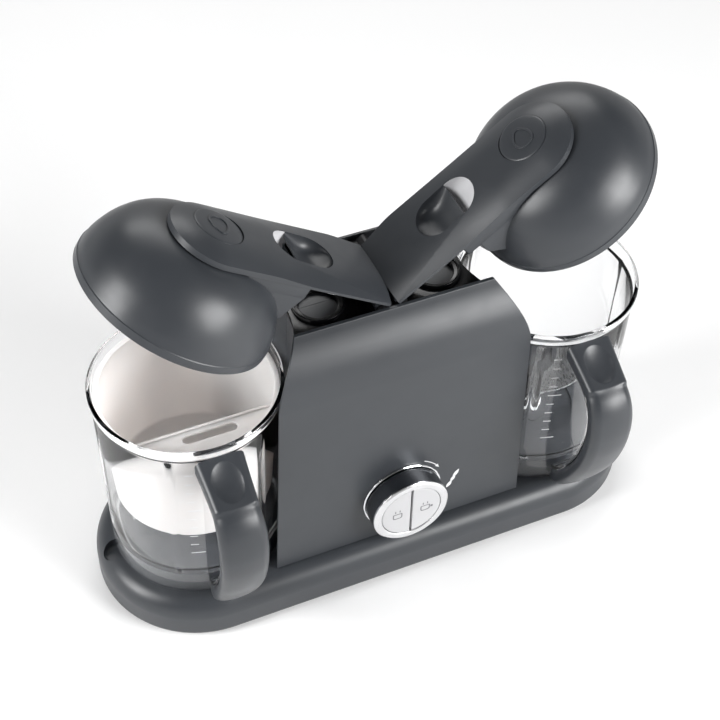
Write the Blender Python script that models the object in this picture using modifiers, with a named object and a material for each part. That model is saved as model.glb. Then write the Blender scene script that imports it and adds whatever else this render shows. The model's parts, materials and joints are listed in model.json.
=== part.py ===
"""Twin-bowl baby food maker: a steamer and blender with two lift-off jugs under hinged dome lids.

X runs along the base with the left jug at -X, Y runs to the back and Z is up. The base stands at z = 0.
All sizes below are in millimetres; the helpers turn them into metres.
"""

import math

import bmesh
import bpy
from mathutils import Matrix, Vector

MM = 0.001
GAP = 0.3                       # clearance between pieces that touch

# Base and block
JUG_X = 127.9                   # jug axis, each side of the middle
BASE_RADIUS = 71.8
BASE_BOTTOM = 3.0
BASE_TOP = 36.0
BASE_ROUND = 15.0
CAVITY_RADIUS = 65.5            # hollow under the base shell
CAVITY_HALF = 112.0
CAVITY_TOP = 32.5
WALL = 2.8                      # housing wall
CUTAWAY_RADIUS = 68.0           # the block's sides are hollowed out round each jug
FRONT_FOOT = 58.5               # block's half depth at its foot
FRONT_KNEE = 55.0               # half depth where the top begins to curve back
KNEE_HEIGHT = 187.0
BLOCK_TOP = 230.7
DECK_FRONT = 30.0               # edges of the opening that the deck fills
DECK_REAR = 37.0
DECK_TOP = 222.0
DECK_THICK = 3.0
FOOT_X = 125.0
FOOT_Y = 36.0

# Lids, in each lid's own frame: u outward from the hinge, v to the back, h up
HINGE_X = 6.8
HINGE_Z = 226.6
LID_OPEN_LEFT = 33.0            # degrees
LID_OPEN_RIGHT = 37.0
DOME_RADIUS = 64.0
DOME_RIM = -42.2
STRAP_TOP = 11.8
STRAP_BOTTOM = 5.5
STRAP_FRONT = 29.0
STRAP_REAR = 34.0
STRAP_END_RADIUS = 33.8
SLOT_NEAR = 50.3                # centres of the finger slot's round ends
SLOT_FAR = 65.3
SLOT_RADIUS = 14.6
BADGE_U = 120.6
BADGE_RADIUS = 15.8
PIN_RADIUS = 1.6
PIN_HOLE = 1.9
BARREL_RADIUS = 4.0
WELL_X = 40.0
WELL_Y = -3.0
WELL_RADIUS = 12.0

# Jugs, blades and drive
RIM_RADIUS = 62.0
RIM_TOP = 185.5
JUG_BOTTOM = 36.5
FLOOR_TOP = 57.7
SEAT_RADIUS = 55.0
SEAT_TOP = 54.0
HANDLE_HALF = 15.5
HANDLE_REACH = 108.0
PULLEY_RADIUS = 21.0
MOTOR_PULLEY_RADIUS = 9.0
FLANGE = 2.4
BELT_HEIGHT = 4.4
BELT_THICK = 1.6
LEFT_BELT_Z = 13.6
RIGHT_BELT_Z = 20.2
SHAFT_RADIUS = 3.9
LEDGE_Z = 162.0                 # the slotted ledge across the front of the steam basket
LEDGE_CHORD = -21.0
LEDGE_RADIUS = 55.3
STEAM_HOLES = 8
MOTOR_RADIUS = 32.0

# Control knob, on the leaning front panel
KNOB_Z = 73.8
KNOB_RADIUS = 27.5
KNOB_BORE = 22.2
BUTTON_RADIUS = 21.6
PANEL_LEAN = math.atan((FRONT_FOOT - FRONT_KNEE) / (KNEE_HEIGHT - BASE_TOP))

# The handles reach further forward than the base does, so the whole object is moved back to centre its box
CENTRE_SHIFT = (HANDLE_REACH - BASE_RADIUS) / 2


def clear_scene():
    for old in list(bpy.data.objects):
        bpy.data.objects.remove(old, do_unlink=True)


def make_collection(name):
    group = bpy.data.collections.new(name)
    bpy.context.scene.collection.children.link(group)
    return group


def finish(name, colour, roughness, metallic=0.0, alpha=1.0):
    """A plain Principled material."""
    made = bpy.data.materials.new(name)
    made.use_nodes = True
    shader = made.node_tree.nodes["Principled BSDF"]
    shader.inputs["Base Color"].default_value = (*colour, 1.0)
    shader.inputs["Roughness"].default_value = roughness
    shader.inputs["Metallic"].default_value = metallic
    shader.inputs["Alpha"].default_value = alpha
    return made


def empty(name, place=(0.0, 0.0, 0.0), turn=(0.0, 0.0, 0.0), parent=None):
    guide = bpy.data.objects.new(name, None)
    guide.location = Vector(place) * MM
    guide.rotation_euler = turn
    guide.parent = parent
    GUIDES.objects.link(guide)
    return guide


def add_piece(name, mesh, parent, look=None):
    """Put a mesh in the scene: a named part if it has a material, else a cutter."""
    piece = bpy.data.objects.new(name, mesh)
    piece.parent = parent
    if look is None:
        CUTTERS.objects.link(piece)
        piece.hide_render = True
        piece.display_type = "WIRE"
    else:
        PARTS.objects.link(piece)
        mesh.materials.append(look)
    return piece


def box(name, low, high, parent, look=None):
    mesh = bpy.data.meshes.new(name)
    shape = bmesh.new()
    size = Vector(high) - Vector(low)
    middle = (Vector(high) + Vector(low)) / 2
    place = Matrix.Translation(middle * MM) @ Matrix.Diagonal((*(size * MM), 1.0))
    bmesh.ops.create_cube(shape, size=1.0, matrix=place)
    shape.to_mesh(mesh)
    shape.free()
    return add_piece(name, mesh, parent, look)


def rod(name, radius, start, end, parent, look=None, sides=24):
    """A round bar between two points."""
    mesh = bpy.data.meshes.new(name)
    shape = bmesh.new()
    start = Vector(start)
    end = Vector(end)
    turn = (end - start).to_track_quat("Z", "Y").to_matrix().to_4x4()
    place = Matrix.Translation((start + end) / 2 * MM) @ turn
    bmesh.ops.create_cone(shape, cap_ends=True, segments=sides, radius1=radius * MM, radius2=radius * MM,
                          depth=(end - start).length * MM, matrix=place)
    shape.to_mesh(mesh)
    shape.free()
    smooth(mesh)
    return add_piece(name, mesh, parent, look)


def smooth(mesh):
    mesh.shade_smooth()
    mesh.set_sharp_from_angle(angle=math.radians(35))


def turned(name, profile, parent, look=None, closed=False, steps=36, place=Matrix.Identity(4)):
    """Turn a profile of (radius, height) points round the Z axis; it runs down the outer side."""
    mesh = bpy.data.meshes.new(name)
    points = [(radius * MM, 0.0, height * MM) for radius, height in profile]
    edges = [(i, i + 1) for i in range(len(points) - 1)]
    if closed:
        edges.append((len(points) - 1, 0))
    mesh.from_pydata(points, edges, [])
    piece = add_piece(name, mesh, parent, look)
    piece.matrix_local = place
    screw = piece.modifiers.new("Turn", "SCREW")
    screw.steps = steps
    screw.render_steps = steps
    screw.use_merge_vertices = True
    screw.merge_threshold = 0.00001
    screw.use_smooth_shade = True
    return piece


PLANES = {
    "XY": Matrix.Identity(4),
    "YZ": Matrix(((0, 0, 1, 0), (1, 0, 0, 0), (0, 1, 0, 0), (0, 0, 0, 1))),
    "XZ": Matrix(((1, 0, 0, 0), (0, 0, -1, 0), (0, 1, 0, 0), (0, 0, 0, 1))),
}


def slab(name, outlines, low, high, parent, look=None, plane="XY"):
    """Extrude a flat outline, with any holes in it, from low to high square to its plane."""
    if plane == "XZ":
        low, high = -high, -low
    curve = bpy.data.curves.new(name, "CURVE")
    curve.dimensions = "2D"
    curve.fill_mode = "BOTH"
    curve.extrude = (high - low) / 2 * MM
    for outline in outlines:
        spline = curve.splines.new("POLY")
        spline.points.add(len(outline) - 1)
        for point, (across, up) in zip(spline.points, outline):
            point.co = (across * MM, up * MM, 0.0, 1.0)
        spline.use_cyclic_u = True
    guide = bpy.data.objects.new(name, curve)
    guide.matrix_world = PLANES[plane] @ Matrix.Translation((0.0, 0.0, (low + high) / 2 * MM))
    GUIDES.objects.link(guide)
    bpy.context.view_layer.update()
    mesh = bpy.data.meshes.new_from_object(guide.evaluated_get(bpy.context.evaluated_depsgraph_get()))
    shape = bmesh.new()
    shape.from_mesh(mesh)
    bmesh.ops.remove_doubles(shape, verts=shape.verts, dist=0.00001)
    bmesh.ops.dissolve_limit(shape, angle_limit=math.radians(0.1), verts=shape.verts, edges=shape.edges)
    bmesh.ops.transform(shape, matrix=guide.matrix_world, verts=shape.verts)
    bmesh.ops.recalc_face_normals(shape, faces=shape.faces)
    shape.to_mesh(mesh)
    shape.free()
    bpy.data.objects.remove(guide)
    bpy.data.curves.remove(curve)
    mesh.materials.clear()
    mesh.name = name
    smooth(mesh)
    return add_piece(name, mesh, parent, look)


def combine(piece, other, operation="DIFFERENCE"):
    boolean = piece.modifiers.new(operation.title(), "BOOLEAN")
    boolean.object = other
    boolean.operation = operation
    boolean.solver = "EXACT"


def round_edges(piece, width, segments=2, angle=50.0):
    bevel = piece.modifiers.new("Round", "BEVEL")
    bevel.width = width * MM
    bevel.segments = segments
    bevel.limit_method = "ANGLE"
    bevel.angle_limit = math.radians(angle)


def round_rims(piece, width, segments, bottom_share=0.0):
    """Round the top rim of a slab by width, and its bottom rim by a share of that."""
    mesh = piece.data
    heights = [vertex.co.z for vertex in mesh.vertices]
    top = max(heights) - 0.00001
    bottom = min(heights) + 0.00001
    weights = mesh.attributes.new("bevel_weight_edge", "FLOAT", "EDGE")
    for edge in mesh.edges:
        ends = [heights[index] for index in edge.vertices]
        if min(ends) > top:
            weights.data[edge.index].value = 1.0
        elif max(ends) < bottom:
            weights.data[edge.index].value = bottom_share
    bevel = piece.modifiers.new("Round", "BEVEL")
    bevel.width = width * MM
    bevel.segments = segments
    bevel.limit_method = "WEIGHT"
    bevel.use_clamp_overlap = False


def arc(across, up, radius, start, end, steps):
    """Points on a circular arc, angles in degrees."""
    points = []
    for step in range(steps + 1):
        angle = math.radians(start + (end - start) * step / steps)
        points.append((across + radius * math.cos(angle), up + radius * math.sin(angle)))
    return points


def stadium(radius, half, across=0.0, up=0.0, along="X", steps=16):
    """A slot outline: two half circles joined by straight sides."""
    if along == "X":
        return arc(across + half, up, radius, -90, 90, steps) + arc(across - half, up, radius, 90, 270, steps)
    return arc(across, up + half, radius, 0, 180, steps) + arc(across, up - half, radius, 180, 360, steps)


def belt_loop(small, large, distance, steps=12):
    """Outline of a belt round two pulleys, the small one at zero and the large one at a signed distance."""
    side = 1 if distance > 0 else -1
    lean = math.degrees(math.asin((large - small) / abs(distance)))
    near = arc(0.0, 0.0, small, 90 + lean, 270 - lean, steps)
    far = arc(abs(distance), 0.0, large, -90 - lean, 90 + lean, steps)
    return [(side * across, up) for across, up in near + far]


def block_profile(sign, back_edge, offset, steps=8):
    """One side of the block, as (y, z) points from its foot up to its top edge.

    A straight panel leans in to the knee, and an arc carries on to the top edge, back_edge from the middle.
    """
    inward = FRONT_KNEE - back_edge - 2.1
    rise = BLOCK_TOP - KNEE_HEIGHT
    radius = (inward ** 2 + rise ** 2) / (2 * inward)
    sweep = math.degrees(math.asin(rise / radius))
    points = [(FRONT_FOOT - offset, BASE_TOP + 0.5)]
    points += arc(FRONT_KNEE - radius, KNEE_HEIGHT, radius - offset, 0, sweep, steps)
    return [(sign * across, up) for across, up in points]


# ------------------------------------------------------------------ base


def make_base():
    shell = slab("base_shell", [stadium(BASE_RADIUS, JUG_X, steps=20)], BASE_BOTTOM, BASE_TOP, FRAME, GREY)
    round_rims(shell, BASE_ROUND, 4, bottom_share=0.3)
    cavity = slab("base_cavity", [stadium(CAVITY_RADIUS, CAVITY_HALF, steps=14)], -1.0, CAVITY_TOP, FRAME)
    round_rims(cavity, CAVITY_RADIUS - 54.0, 2)
    combine(shell, cavity)
    combine(shell, rod("motor_opening", 14.0, (0, 0, 20), (0, 0, 50), FRAME))
    for side in (-1, 1):
        axis = side * JUG_X
        combine(shell, rod(f"hub_opening_{side}", 12.0, (axis, 0, 20), (axis, 0, 50), FRAME))
        notch = rod(f"end_notch_{side}", 8.0, (side * 188.5, 0, 28), (side * 188.5, 0, 50), FRAME)
        combine(shell, notch)
    cover = slab("base_cover", [stadium(CAVITY_RADIUS - 0.4, CAVITY_HALF - 0.4)], 5.0, 7.5, FRAME, BLACK)
    round_edges(cover, 0.5, 1)
    corners = {"front_left": (-1, -1), "front_right": (1, -1), "rear_left": (-1, 1), "rear_right": (1, 1)}
    for corner, (across, along) in corners.items():
        place = (across * FOOT_X, along * FOOT_Y)
        rod(f"foot_{corner}", 9.0, (*place, 0.0), (*place, 5.0 - GAP), FRAME, RUBBER)


def make_seat(name, parent):
    """The raised drum that a jug stands over, with the tube that holds the drive bearing."""
    profile = [(8.4, SEAT_TOP), (SEAT_RADIUS - 1.5, SEAT_TOP), (SEAT_RADIUS, SEAT_TOP - 1.5),
               (SEAT_RADIUS, BASE_TOP + 0.4), (SEAT_RADIUS - 2.5, BASE_TOP + 0.4), (SEAT_RADIUS - 2.5, 51.0),
               (11.0, 51.0), (11.0, 30.0), (8.4, 30.0)]
    turned(f"{name}_jug_seat", profile, parent, GREY, closed=True, steps=36)
    bush = [(4.2, 53.7), (8.1, 53.7), (8.1, 30.5), (4.2, 30.5)]
    turned(f"{name}_drive_bearing", bush, parent, BRONZE, closed=True, steps=16)


def make_housing():
    """The block between the jugs, in a front and a rear half that meet at the waist."""
    halves = {"housing_front": (-1, DECK_FRONT), "housing_rear": (1, DECK_REAR)}
    wall_top = DECK_TOP - DECK_THICK - GAP
    for name, (sign, edge) in halves.items():
        seam = sign * GAP / 2
        outer = [(seam, BASE_TOP + 0.5)] + block_profile(sign, edge, 0.0)
        outer += [(sign * edge, BLOCK_TOP), (sign * edge, wall_top), (seam, wall_top)]
        shell = slab(name, [outer], -93.4, 93.4, FRAME, GREY, plane="YZ")
        inner = [(-sign, BASE_TOP - 5)] + [(sign * (FRONT_FOOT - WALL), BASE_TOP - 5)]
        ceiling = wall_top - WALL
        inner += [point for point in block_profile(sign, edge, WALL) if point[1] < ceiling]
        lip = sign * (edge + WALL)
        inner += [(lip, ceiling), (lip, wall_top + 1), (-sign, wall_top + 1)]
        hollow = slab(f"{name}_hollow", [inner], -110, 110, FRAME, plane="YZ")
        for side in (-1, 1):
            start = (side * JUG_X, 0, 0)
            end = (side * JUG_X, 0, 260)
            combine(hollow, rod(f"{name}_side_{side}", CUTAWAY_RADIUS + WALL, start, end, FRAME, sides=96))
            combine(shell, rod(f"{name}_cutaway_{side}", CUTAWAY_RADIUS, start, end, FRAME, sides=96))
        combine(shell, hollow)
        if sign < 0:
            combine(shell, rod("knob_shaft_hole", 4.2, (0, 0, -8), (0, 0, 8), KNOB_FRAME))
        else:
            combine(shell, rod("gland_hole", 5.9, (48, 40, 52), (48, 80, 52), FRAME))


def deck_outline(steps=10):
    """The block's plan between the deck's edges: hollow round each jug."""
    points = []
    rear = math.degrees(math.asin((DECK_REAR - GAP) / CUTAWAY_RADIUS))
    front = math.degrees(math.asin((DECK_FRONT - GAP) / CUTAWAY_RADIUS))
    points += arc(JUG_X, 0.0, CUTAWAY_RADIUS, 180 + front, 180 - rear, steps)
    points += arc(-JUG_X, 0.0, CUTAWAY_RADIUS, rear, -front, steps)
    return points


def make_deck():
    deck = slab("top_deck", [deck_outline()], DECK_TOP - DECK_THICK, DECK_TOP, FRAME, GLOSS_BLACK)
    for side in (-1, 1):
        start = (side * WELL_X, WELL_Y, DECK_TOP - 10)
        end = (side * WELL_X, WELL_Y, DECK_TOP + 10)
        combine(deck, rod(f"well_hole_{side}", WELL_RADIUS, start, end, FRAME, sides=32))


def make_tank(name, side):
    """The steam boiler under one filling well, and the heating plate clamped below it."""
    top = DECK_TOP - DECK_THICK - GAP
    tank = slab(f"{name}_water_tank", [stadium(17.5, 14.5, side * 38, 0, "Y", 10)], 150.0, top, FRAME, STEEL)
    combine(tank, slab(f"{name}_tank_bore", [stadium(16.3, 14.5, side * 38, 0, "Y", 10)], 151.5, 230, FRAME))
    heater = slab(f"{name}_heater", [stadium(15, 15, side * 38, 0, "Y", 8)], 138.0, 149.7, FRAME, ALUMINIUM)
    round_edges(heater, 1.0, 1)


def make_hinge():
    """The bar on the deck that carries both lids' hinge pins."""
    bracket = box("hinge_bracket", (-2.0, -28, DECK_TOP + GAP), (2.0, 37, HINGE_Z - 0.7), FRAME, BLACK)
    for end, low, high in (("front", -29.5, -26.3), ("rear", 35.0, DECK_REAR - GAP)):
        low_corner = (-11.8, low, DECK_TOP + GAP)
        high_corner = (11.8, high, HINGE_Z + 4.0)
        combine(bracket, box(f"hinge_ear_{end}", low_corner, high_corner, FRAME), "UNION")
    for name, side in SIDES.items():
        axis = side * HINGE_X
        pin_start = (axis, -29.2, HINGE_Z)
        pin_end = (axis, DECK_REAR - 0.6, HINGE_Z)
        rod(f"{name}_hinge_pin", PIN_RADIUS, pin_start, pin_end, FRAME, STEEL, sides=12)
        start = (axis, -40, HINGE_Z)
        end = (axis, 50, HINGE_Z)
        combine(bracket, rod(f"{name}_ear_hole", PIN_HOLE, start, end, FRAME, sides=16))


def make_drive():
    """Motor, its bracket and double pulley, and a belt to the pulley under each jug."""
    legs = [(-45, BASE_TOP + 0.4), (-42, BASE_TOP + 0.4), (-42, 44), (42, 44), (42, BASE_TOP + 0.4),
            (45, BASE_TOP + 0.4), (45, 47), (-45, 47)]
    bracket = slab("motor_bracket", [legs], -33.0, 33.0, FRAME, STEEL, plane="XZ")
    combine(bracket, rod("bracket_hole", 7.0, (0, 0, 40), (0, 0, 50), FRAME))
    can = [(4.4, 124.0), (12.0, 124.0), (12.0, 120.0), (MOTOR_RADIUS - 2, 120.0), (MOTOR_RADIUS, 118.0),
           (MOTOR_RADIUS, 49.3), (MOTOR_RADIUS - 2, 47.3), (4.4, 47.3)]
    turned("motor", can, FRAME, STEEL, closed=True, steps=28)
    drum = MOTOR_PULLEY_RADIUS
    rim = drum + FLANGE
    low = LEFT_BELT_Z - 0.4
    mid_low = LEFT_BELT_Z + BELT_HEIGHT + 0.4
    mid_high = RIGHT_BELT_Z - 0.4
    high = RIGHT_BELT_Z + BELT_HEIGHT + 0.4
    shaft = [(0, 128), (SHAFT_RADIUS, 128), (SHAFT_RADIUS, high + 1), (rim, high + 1), (rim, high),
             (drum, high), (drum, mid_high), (rim, mid_high), (rim, mid_low), (drum, mid_low), (drum, low),
             (rim, low), (rim, low - 1), (0, low - 1)]
    turned("motor_shaft", shaft, FRAME, STEEL, steps=16)
    for name, side in SIDES.items():
        height = LEFT_BELT_Z if name == "left" else RIGHT_BELT_Z
        inner = belt_loop(drum + GAP, PULLEY_RADIUS + GAP, side * JUG_X)
        outer = belt_loop(drum + GAP + BELT_THICK, PULLEY_RADIUS + GAP + BELT_THICK, side * JUG_X)
        slab(f"{name}_drive_belt", [outer, inner], height, height + BELT_HEIGHT, FRAME, RUBBER)


def make_drive_hub(name, parent):
    """The pulley under a jug, its shaft and the six-sided dog that turns the blade."""
    low = (LEFT_BELT_Z if name == "left" else RIGHT_BELT_Z) - 0.4
    high = low + BELT_HEIGHT + 0.8
    rim = PULLEY_RADIUS + FLANGE
    profile = [(0, 60), (SHAFT_RADIUS, 60), (SHAFT_RADIUS, high + 1), (rim, high + 1), (rim, high),
               (PULLEY_RADIUS, high), (PULLEY_RADIUS, low), (rim, low), (rim, low - 1), (0, low - 1)]
    hub = turned(f"{name}_drive_hub", profile, parent, BLACK, steps=24)
    combine(hub, rod(f"{name}_drive_dog", 4.7, (0, 0, 54.4), (0, 0, 61), parent, sides=6), "UNION")


def make_electrics():
    board = box("control_board", (-35, -44, 95), (35, -42.4, 150), FRAME, BOARD)
    round_edges(board, 0.4, 1)
    switch = box("selector_switch", (-13, -51.4, 61), (13, -38, 87), FRAME, BLACK)
    round_edges(switch, 1.0, 1)
    gland = [(3.4, 13.0), (4.9, 13.0), (5.5, 3.2), (8.5, 3.2), (8.5, 0.6), (5.5, 0.6), (5.5, -5.0), (3.4, -5.0)]
    outward = Matrix.Translation(Vector((48, FRONT_FOOT, 52)) * MM) @ Matrix.Rotation(math.radians(-90), 4, "X")
    turned("cord_gland", gland, FRAME, RUBBER, closed=True, steps=16, place=outward)


# ------------------------------------------------------------------ knob


def make_knob():
    """The turning knob with its two half-round push buttons; z is out of the panel here."""
    bezel = [(26.6, 2.2), (29.2, 2.2), (30.0, 1.4), (30.0, GAP), (26.6, GAP)]
    turned("knob_bezel", bezel, KNOB_FRAME, CHROME, closed=True, steps=32)
    drum = [(0, 5), (KNOB_BORE, 5), (KNOB_BORE, 14.8), (KNOB_RADIUS, 14.8), (KNOB_RADIUS, 2.6), (3.6, 2.6),
            (3.6, -5), (0, -5)]
    knob = turned("knob", drum, KNOB_FRAME, GLOSS_BLACK, steps=32)
    combine(knob, box("knob_bar", (-1.3, -22.6, 4), (1.3, 22.6, 14.0), KNOB_FRAME), "UNION")
    ring = [(22.0, 16.2), (26.5, 16.2), (KNOB_RADIUS, 15.4), (KNOB_RADIUS, 15.1), (22.0, 15.1)]
    turned("knob_trim_ring", ring, KNOB_FRAME, CHROME, closed=True, steps=32)
    split = math.degrees(math.acos(1.7 / BUTTON_RADIUS))
    for name, side in SIDES.items():
        outline = [(side * across, up) for across, up in arc(0, 0, BUTTON_RADIUS, -split, split, 16)]
        button = slab(f"{name}_button", [outline], 7.5, 15.8, KNOB_FRAME, WHITE)
        round_edges(button, 0.6, 1)


# ------------------------------------------------------------------ lids


def make_lid(name, side, pivot, neck_start):
    """One dome lid in its closed frame: x outward times side, y to the back, z up from the hinge axis."""
    def plan(points):
        return [(side * across, along) for across, along in points]

    def block(label, low, high, look=None):
        ends = sorted((side * low[0], side * high[0]))
        return box(label, (ends[0], low[1], low[2]), (ends[1], high[1], high[2]), pivot, look)

    axis_u = JUG_X - HINGE_X
    centre = Matrix.Translation(Vector((side * axis_u, 0, 0)) * MM)
    outside = [(0, 5.2), (22, 5.2), (33, 3.4), (43, -1.5), (51, -8.5), (57.5, -18), (61.8, -28.5),
               (DOME_RADIUS, -37), (DOME_RADIUS, DOME_RIM)]
    inside = [(62.5, DOME_RIM), (62.5, -36.8), (60.1, -28.8), (52.6, -13.8), (41.5, -3.2), (21.7, 3.4), (0, 3.4)]
    dome = turned(f"{name}_lid_dome", outside + inside, pivot, GREY, place=centre)
    neck = block(f"{name}_neck", (neck_start, -28.8, -4.3), (80, 28.8, 5.0))
    combine(neck, block(f"{name}_neck_recess", (0, -19.4, -1.4), (62.4, 19.4, 20)))
    combine(dome, neck, "UNION")
    slot = plan(stadium(SLOT_RADIUS, (SLOT_FAR - SLOT_NEAR) / 2, (SLOT_NEAR + SLOT_FAR) / 2, 0, "X", 10))
    opening = slab(f"{name}_dome_opening", [slot], -40, 20, pivot)
    combine(opening, block(f"{name}_opening_limit", (0, -40, -50), (62.4, 40, 30)))
    combine(dome, opening)

    liner = [(0, 1.0), (21, 1.0), (35, -2.6), (50, -16.2), (59.0, -35.4), (61.8, -35.4), (61.8, -36.8),
             (57.6, -36.8), (48.8, -17.2), (34.4, -4.2), (20.5, -0.6), (0, -0.6)]
    turned(f"{name}_lid_liner", liner, pivot, WHITE, place=centre, steps=36)
    seal = [(57.8, -37.3), (62.1, -37.3), (62.1, -39.4), (57.8, -40.6)]
    turned(f"{name}_lid_seal", seal, pivot, SILICONE, closed=True, place=centre, steps=36)

    reach = JUG_X - HINGE_X + 0.4
    edge = [(0.3, -STRAP_FRONT)] + arc(reach, 0, STRAP_END_RADIUS, -94, 90, 16) + [(0.3, STRAP_REAR)]
    strap = slab(f"{name}_lid_strap", [plan(edge)], STRAP_BOTTOM, STRAP_TOP, pivot, GREY)
    combine(strap, block(f"{name}_arm", (14, -19, -1.0), (62, 19, STRAP_BOTTOM + 0.5)), "UNION")
    barrel = rod(f"{name}_hinge_barrel", BARREL_RADIUS, (0, -26, 0), (0, STRAP_REAR + 0.5, 0), pivot, sides=20)
    combine(strap, barrel, "UNION")
    web = block(f"{name}_hinge_web", (-2.5, -25.9, -0.5), (4.0, STRAP_REAR - 0.1, STRAP_BOTTOM + 1.1))
    combine(strap, web, "UNION")
    combine(strap, rod(f"{name}_barrel_hole", PIN_HOLE, (0, -60, 0), (0, 60, 0), pivot, sides=16))
    combine(strap, slab(f"{name}_finger_slot", [slot], 1.0, 20, pivot))
    badge_place = Vector((side * BADGE_U, 0, 0))
    recess_low = badge_place + Vector((0, 0, STRAP_TOP - 1.0))
    recess_high = badge_place + Vector((0, 0, STRAP_TOP + 5))
    combine(strap, rod(f"{name}_badge_recess", BADGE_RADIUS + GAP, recess_low, recess_high, pivot, sides=32))
    badge_low = recess_low + Vector((0, 0, GAP))
    badge_high = badge_low + Vector((0, 0, 1.1))
    badge = rod(f"{name}_lid_badge", BADGE_RADIUS, badge_low, badge_high, pivot, GREY, sides=32)
    round_edges(badge, 0.3, 1)
    plug_u = side * (WELL_X - HINGE_X)
    plug = rod(f"{name}_tank_seal", 14.5, (plug_u, WELL_Y, -4.0), (plug_u, WELL_Y, -1.3), pivot, SILICONE, 32)
    round_edges(plug, 0.6, 1)


# ------------------------------------------------------------------ jugs


def make_jug(name, parent):
    """A clear jug with a skirt that stands over its seat; the floor has a hole for the blade's seal."""
    body = [(59.4, RIM_TOP), (61.4, RIM_TOP), (RIM_RADIUS, 184.9), (RIM_RADIUS, 179.8), (60.2, 179.0),
            (58.7, JUG_BOTTOM), (56.7, JUG_BOTTOM), (56.5, 55.4), (11.0, 55.4), (11.0, FLOOR_TOP),
            (53.5, FLOOR_TOP), (56.6, 61.5), (57.7, 174.0), (59.4, 176.2)]
    turned(f"{name}_jug", body, parent, CLEAR, closed=True)
    outer = [(-60.7, 178.6), (-76, 172.2), (-91, 165), (-100, 159.5), (-105.5, 150), (-HANDLE_REACH, 132),
             (-106.5, 112), (-100.5, 90), (-90, 68), (-78, 49), (-69, 39.6)]
    inner = [(-60.2, 38.2), (-60.2, 52), (-70, 58), (-80, 74), (-88.5, 94), (-93, 114), (-94, 132), (-91, 146),
             (-84, 154), (-74, 160), (-60.7, 165)]
    handle = slab(f"{name}_jug_handle", [outer + inner], -HANDLE_HALF, HANDLE_HALF, parent, GREY, plane="YZ")
    round_edges(handle, 3.0, 2, angle=60)
    combine(handle, rod(f"{name}_handle_hollow", 60.7, (0, 0, 20), (0, 0, 200), parent, sides=96))
    seal = [(7.9, 59.0), (10.0, 59.0), (10.7, 58.2), (10.7, 54.8), (7.9, 54.8)]
    turned(f"{name}_blade_seal", seal, parent, SILICONE, closed=True, steps=20)


def make_blade(name, parent):
    """The spindle that stands on the drive dog, and the two-winged steel blade on it."""
    profile = [(0, 84), (3.0, 83), (5.0, 79), (5.5, 66), (10.0, 62.5), (10.0, 59.8), (7.5, 59.6), (7.5, 55.0),
               (0, 55.0)]
    spindle = turned(f"{name}_blade_hub", profile, parent, BLACK, steps=20)
    combine(spindle, rod(f"{name}_hub_socket", 5.6, (0, 0, 40), (0, 0, 62), parent, sides=6))
    wing = [(8.5, -7), (24, -8.5), (40, -5), (45, 3), (34, 5.5), (20, 6), (8.5, 8)]
    outline = wing + [(-across, -along) for across, along in wing]
    blade = slab(f"{name}_blade", [outline, arc(0, 0, 6.0, 0, 360, 16)[:-1]], 66.4, 67.8, parent, STEEL)
    round_edges(blade, 0.4, 1, angle=70)


def make_basket(parent):
    """The steaming basket: a tapered cup with steam holes, and a slotted ledge across its front."""
    wall = [(0, 94.0), (50.6, 94.0), (55.3, 178.4), (59.0, 178.4), (59.0, 176.8), (56.9, 176.8), (52.2, 92.0),
            (0, 92.0)]
    basket = turned("left_steam_basket", wall, parent, BASKET_WHITE)
    rim = -LEDGE_CHORD
    ledge_edge = math.degrees(math.asin(rim / LEDGE_RADIUS))
    segment = arc(0, 0, LEDGE_RADIUS, 180 + ledge_edge, 360 - ledge_edge, 13)
    slot = stadium(3.2, 15.0, 5.0, LEDGE_CHORD - 7.5, "X", 6)
    ledge = slab("basket_ledge", [segment, slot], LEDGE_Z - 2.0, LEDGE_Z, parent)
    combine(basket, ledge, "UNION")
    for turn in range(STEAM_HOLES):
        angle = 2 * math.pi * (turn + 0.5) / STEAM_HOLES
        spot = (36 * math.cos(angle), 36 * math.sin(angle))
        combine(basket, rod(f"steam_hole_{turn}", 4.0, (*spot, 80), (*spot, 100), parent, sides=8))


clear_scene()
PARTS = make_collection("baby_food_maker")
CUTTERS = make_collection("cutters")
GUIDES = make_collection("guides")

GREY = finish("satin_grey_plastic", (0.11, 0.115, 0.125), 0.38)
BLACK = finish("black_plastic", (0.02, 0.02, 0.022), 0.5)
GLOSS_BLACK = finish("gloss_black_plastic", (0.015, 0.015, 0.017), 0.12)
RUBBER = finish("black_rubber", (0.02, 0.02, 0.02), 0.8)
BRONZE = finish("bearing_bronze", (0.55, 0.38, 0.18), 0.4, 1.0)
STEEL = finish("brushed_steel", (0.55, 0.56, 0.57), 0.3, 1.0)
ALUMINIUM = finish("cast_aluminium", (0.6, 0.6, 0.61), 0.5, 1.0)
CHROME = finish("chrome", (0.85, 0.85, 0.86), 0.08, 1.0)
WHITE = finish("white_plastic", (0.8, 0.8, 0.81), 0.3)
BASKET_WHITE = finish("milky_plastic", (0.9, 0.86, 0.86), 0.35, 0.0, 0.7)
SILICONE = finish("silicone", (0.75, 0.76, 0.77), 0.55)
CLEAR = finish("clear_plastic", (0.95, 0.96, 0.97), 0.05, 0.0, 0.25)
BOARD = finish("circuit_board", (0.03, 0.16, 0.07), 0.5)

SIDES = {"left": -1, "right": 1}
FRAME = empty("frame", (0, CENTRE_SHIFT, 0))
panel_at_knob = -(FRONT_FOOT - (KNOB_Z - BASE_TOP) * math.tan(PANEL_LEAN))
KNOB_FRAME = empty("knob_axis", (0, panel_at_knob, KNOB_Z), (math.radians(90) - PANEL_LEAN, 0, 0), FRAME)

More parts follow.
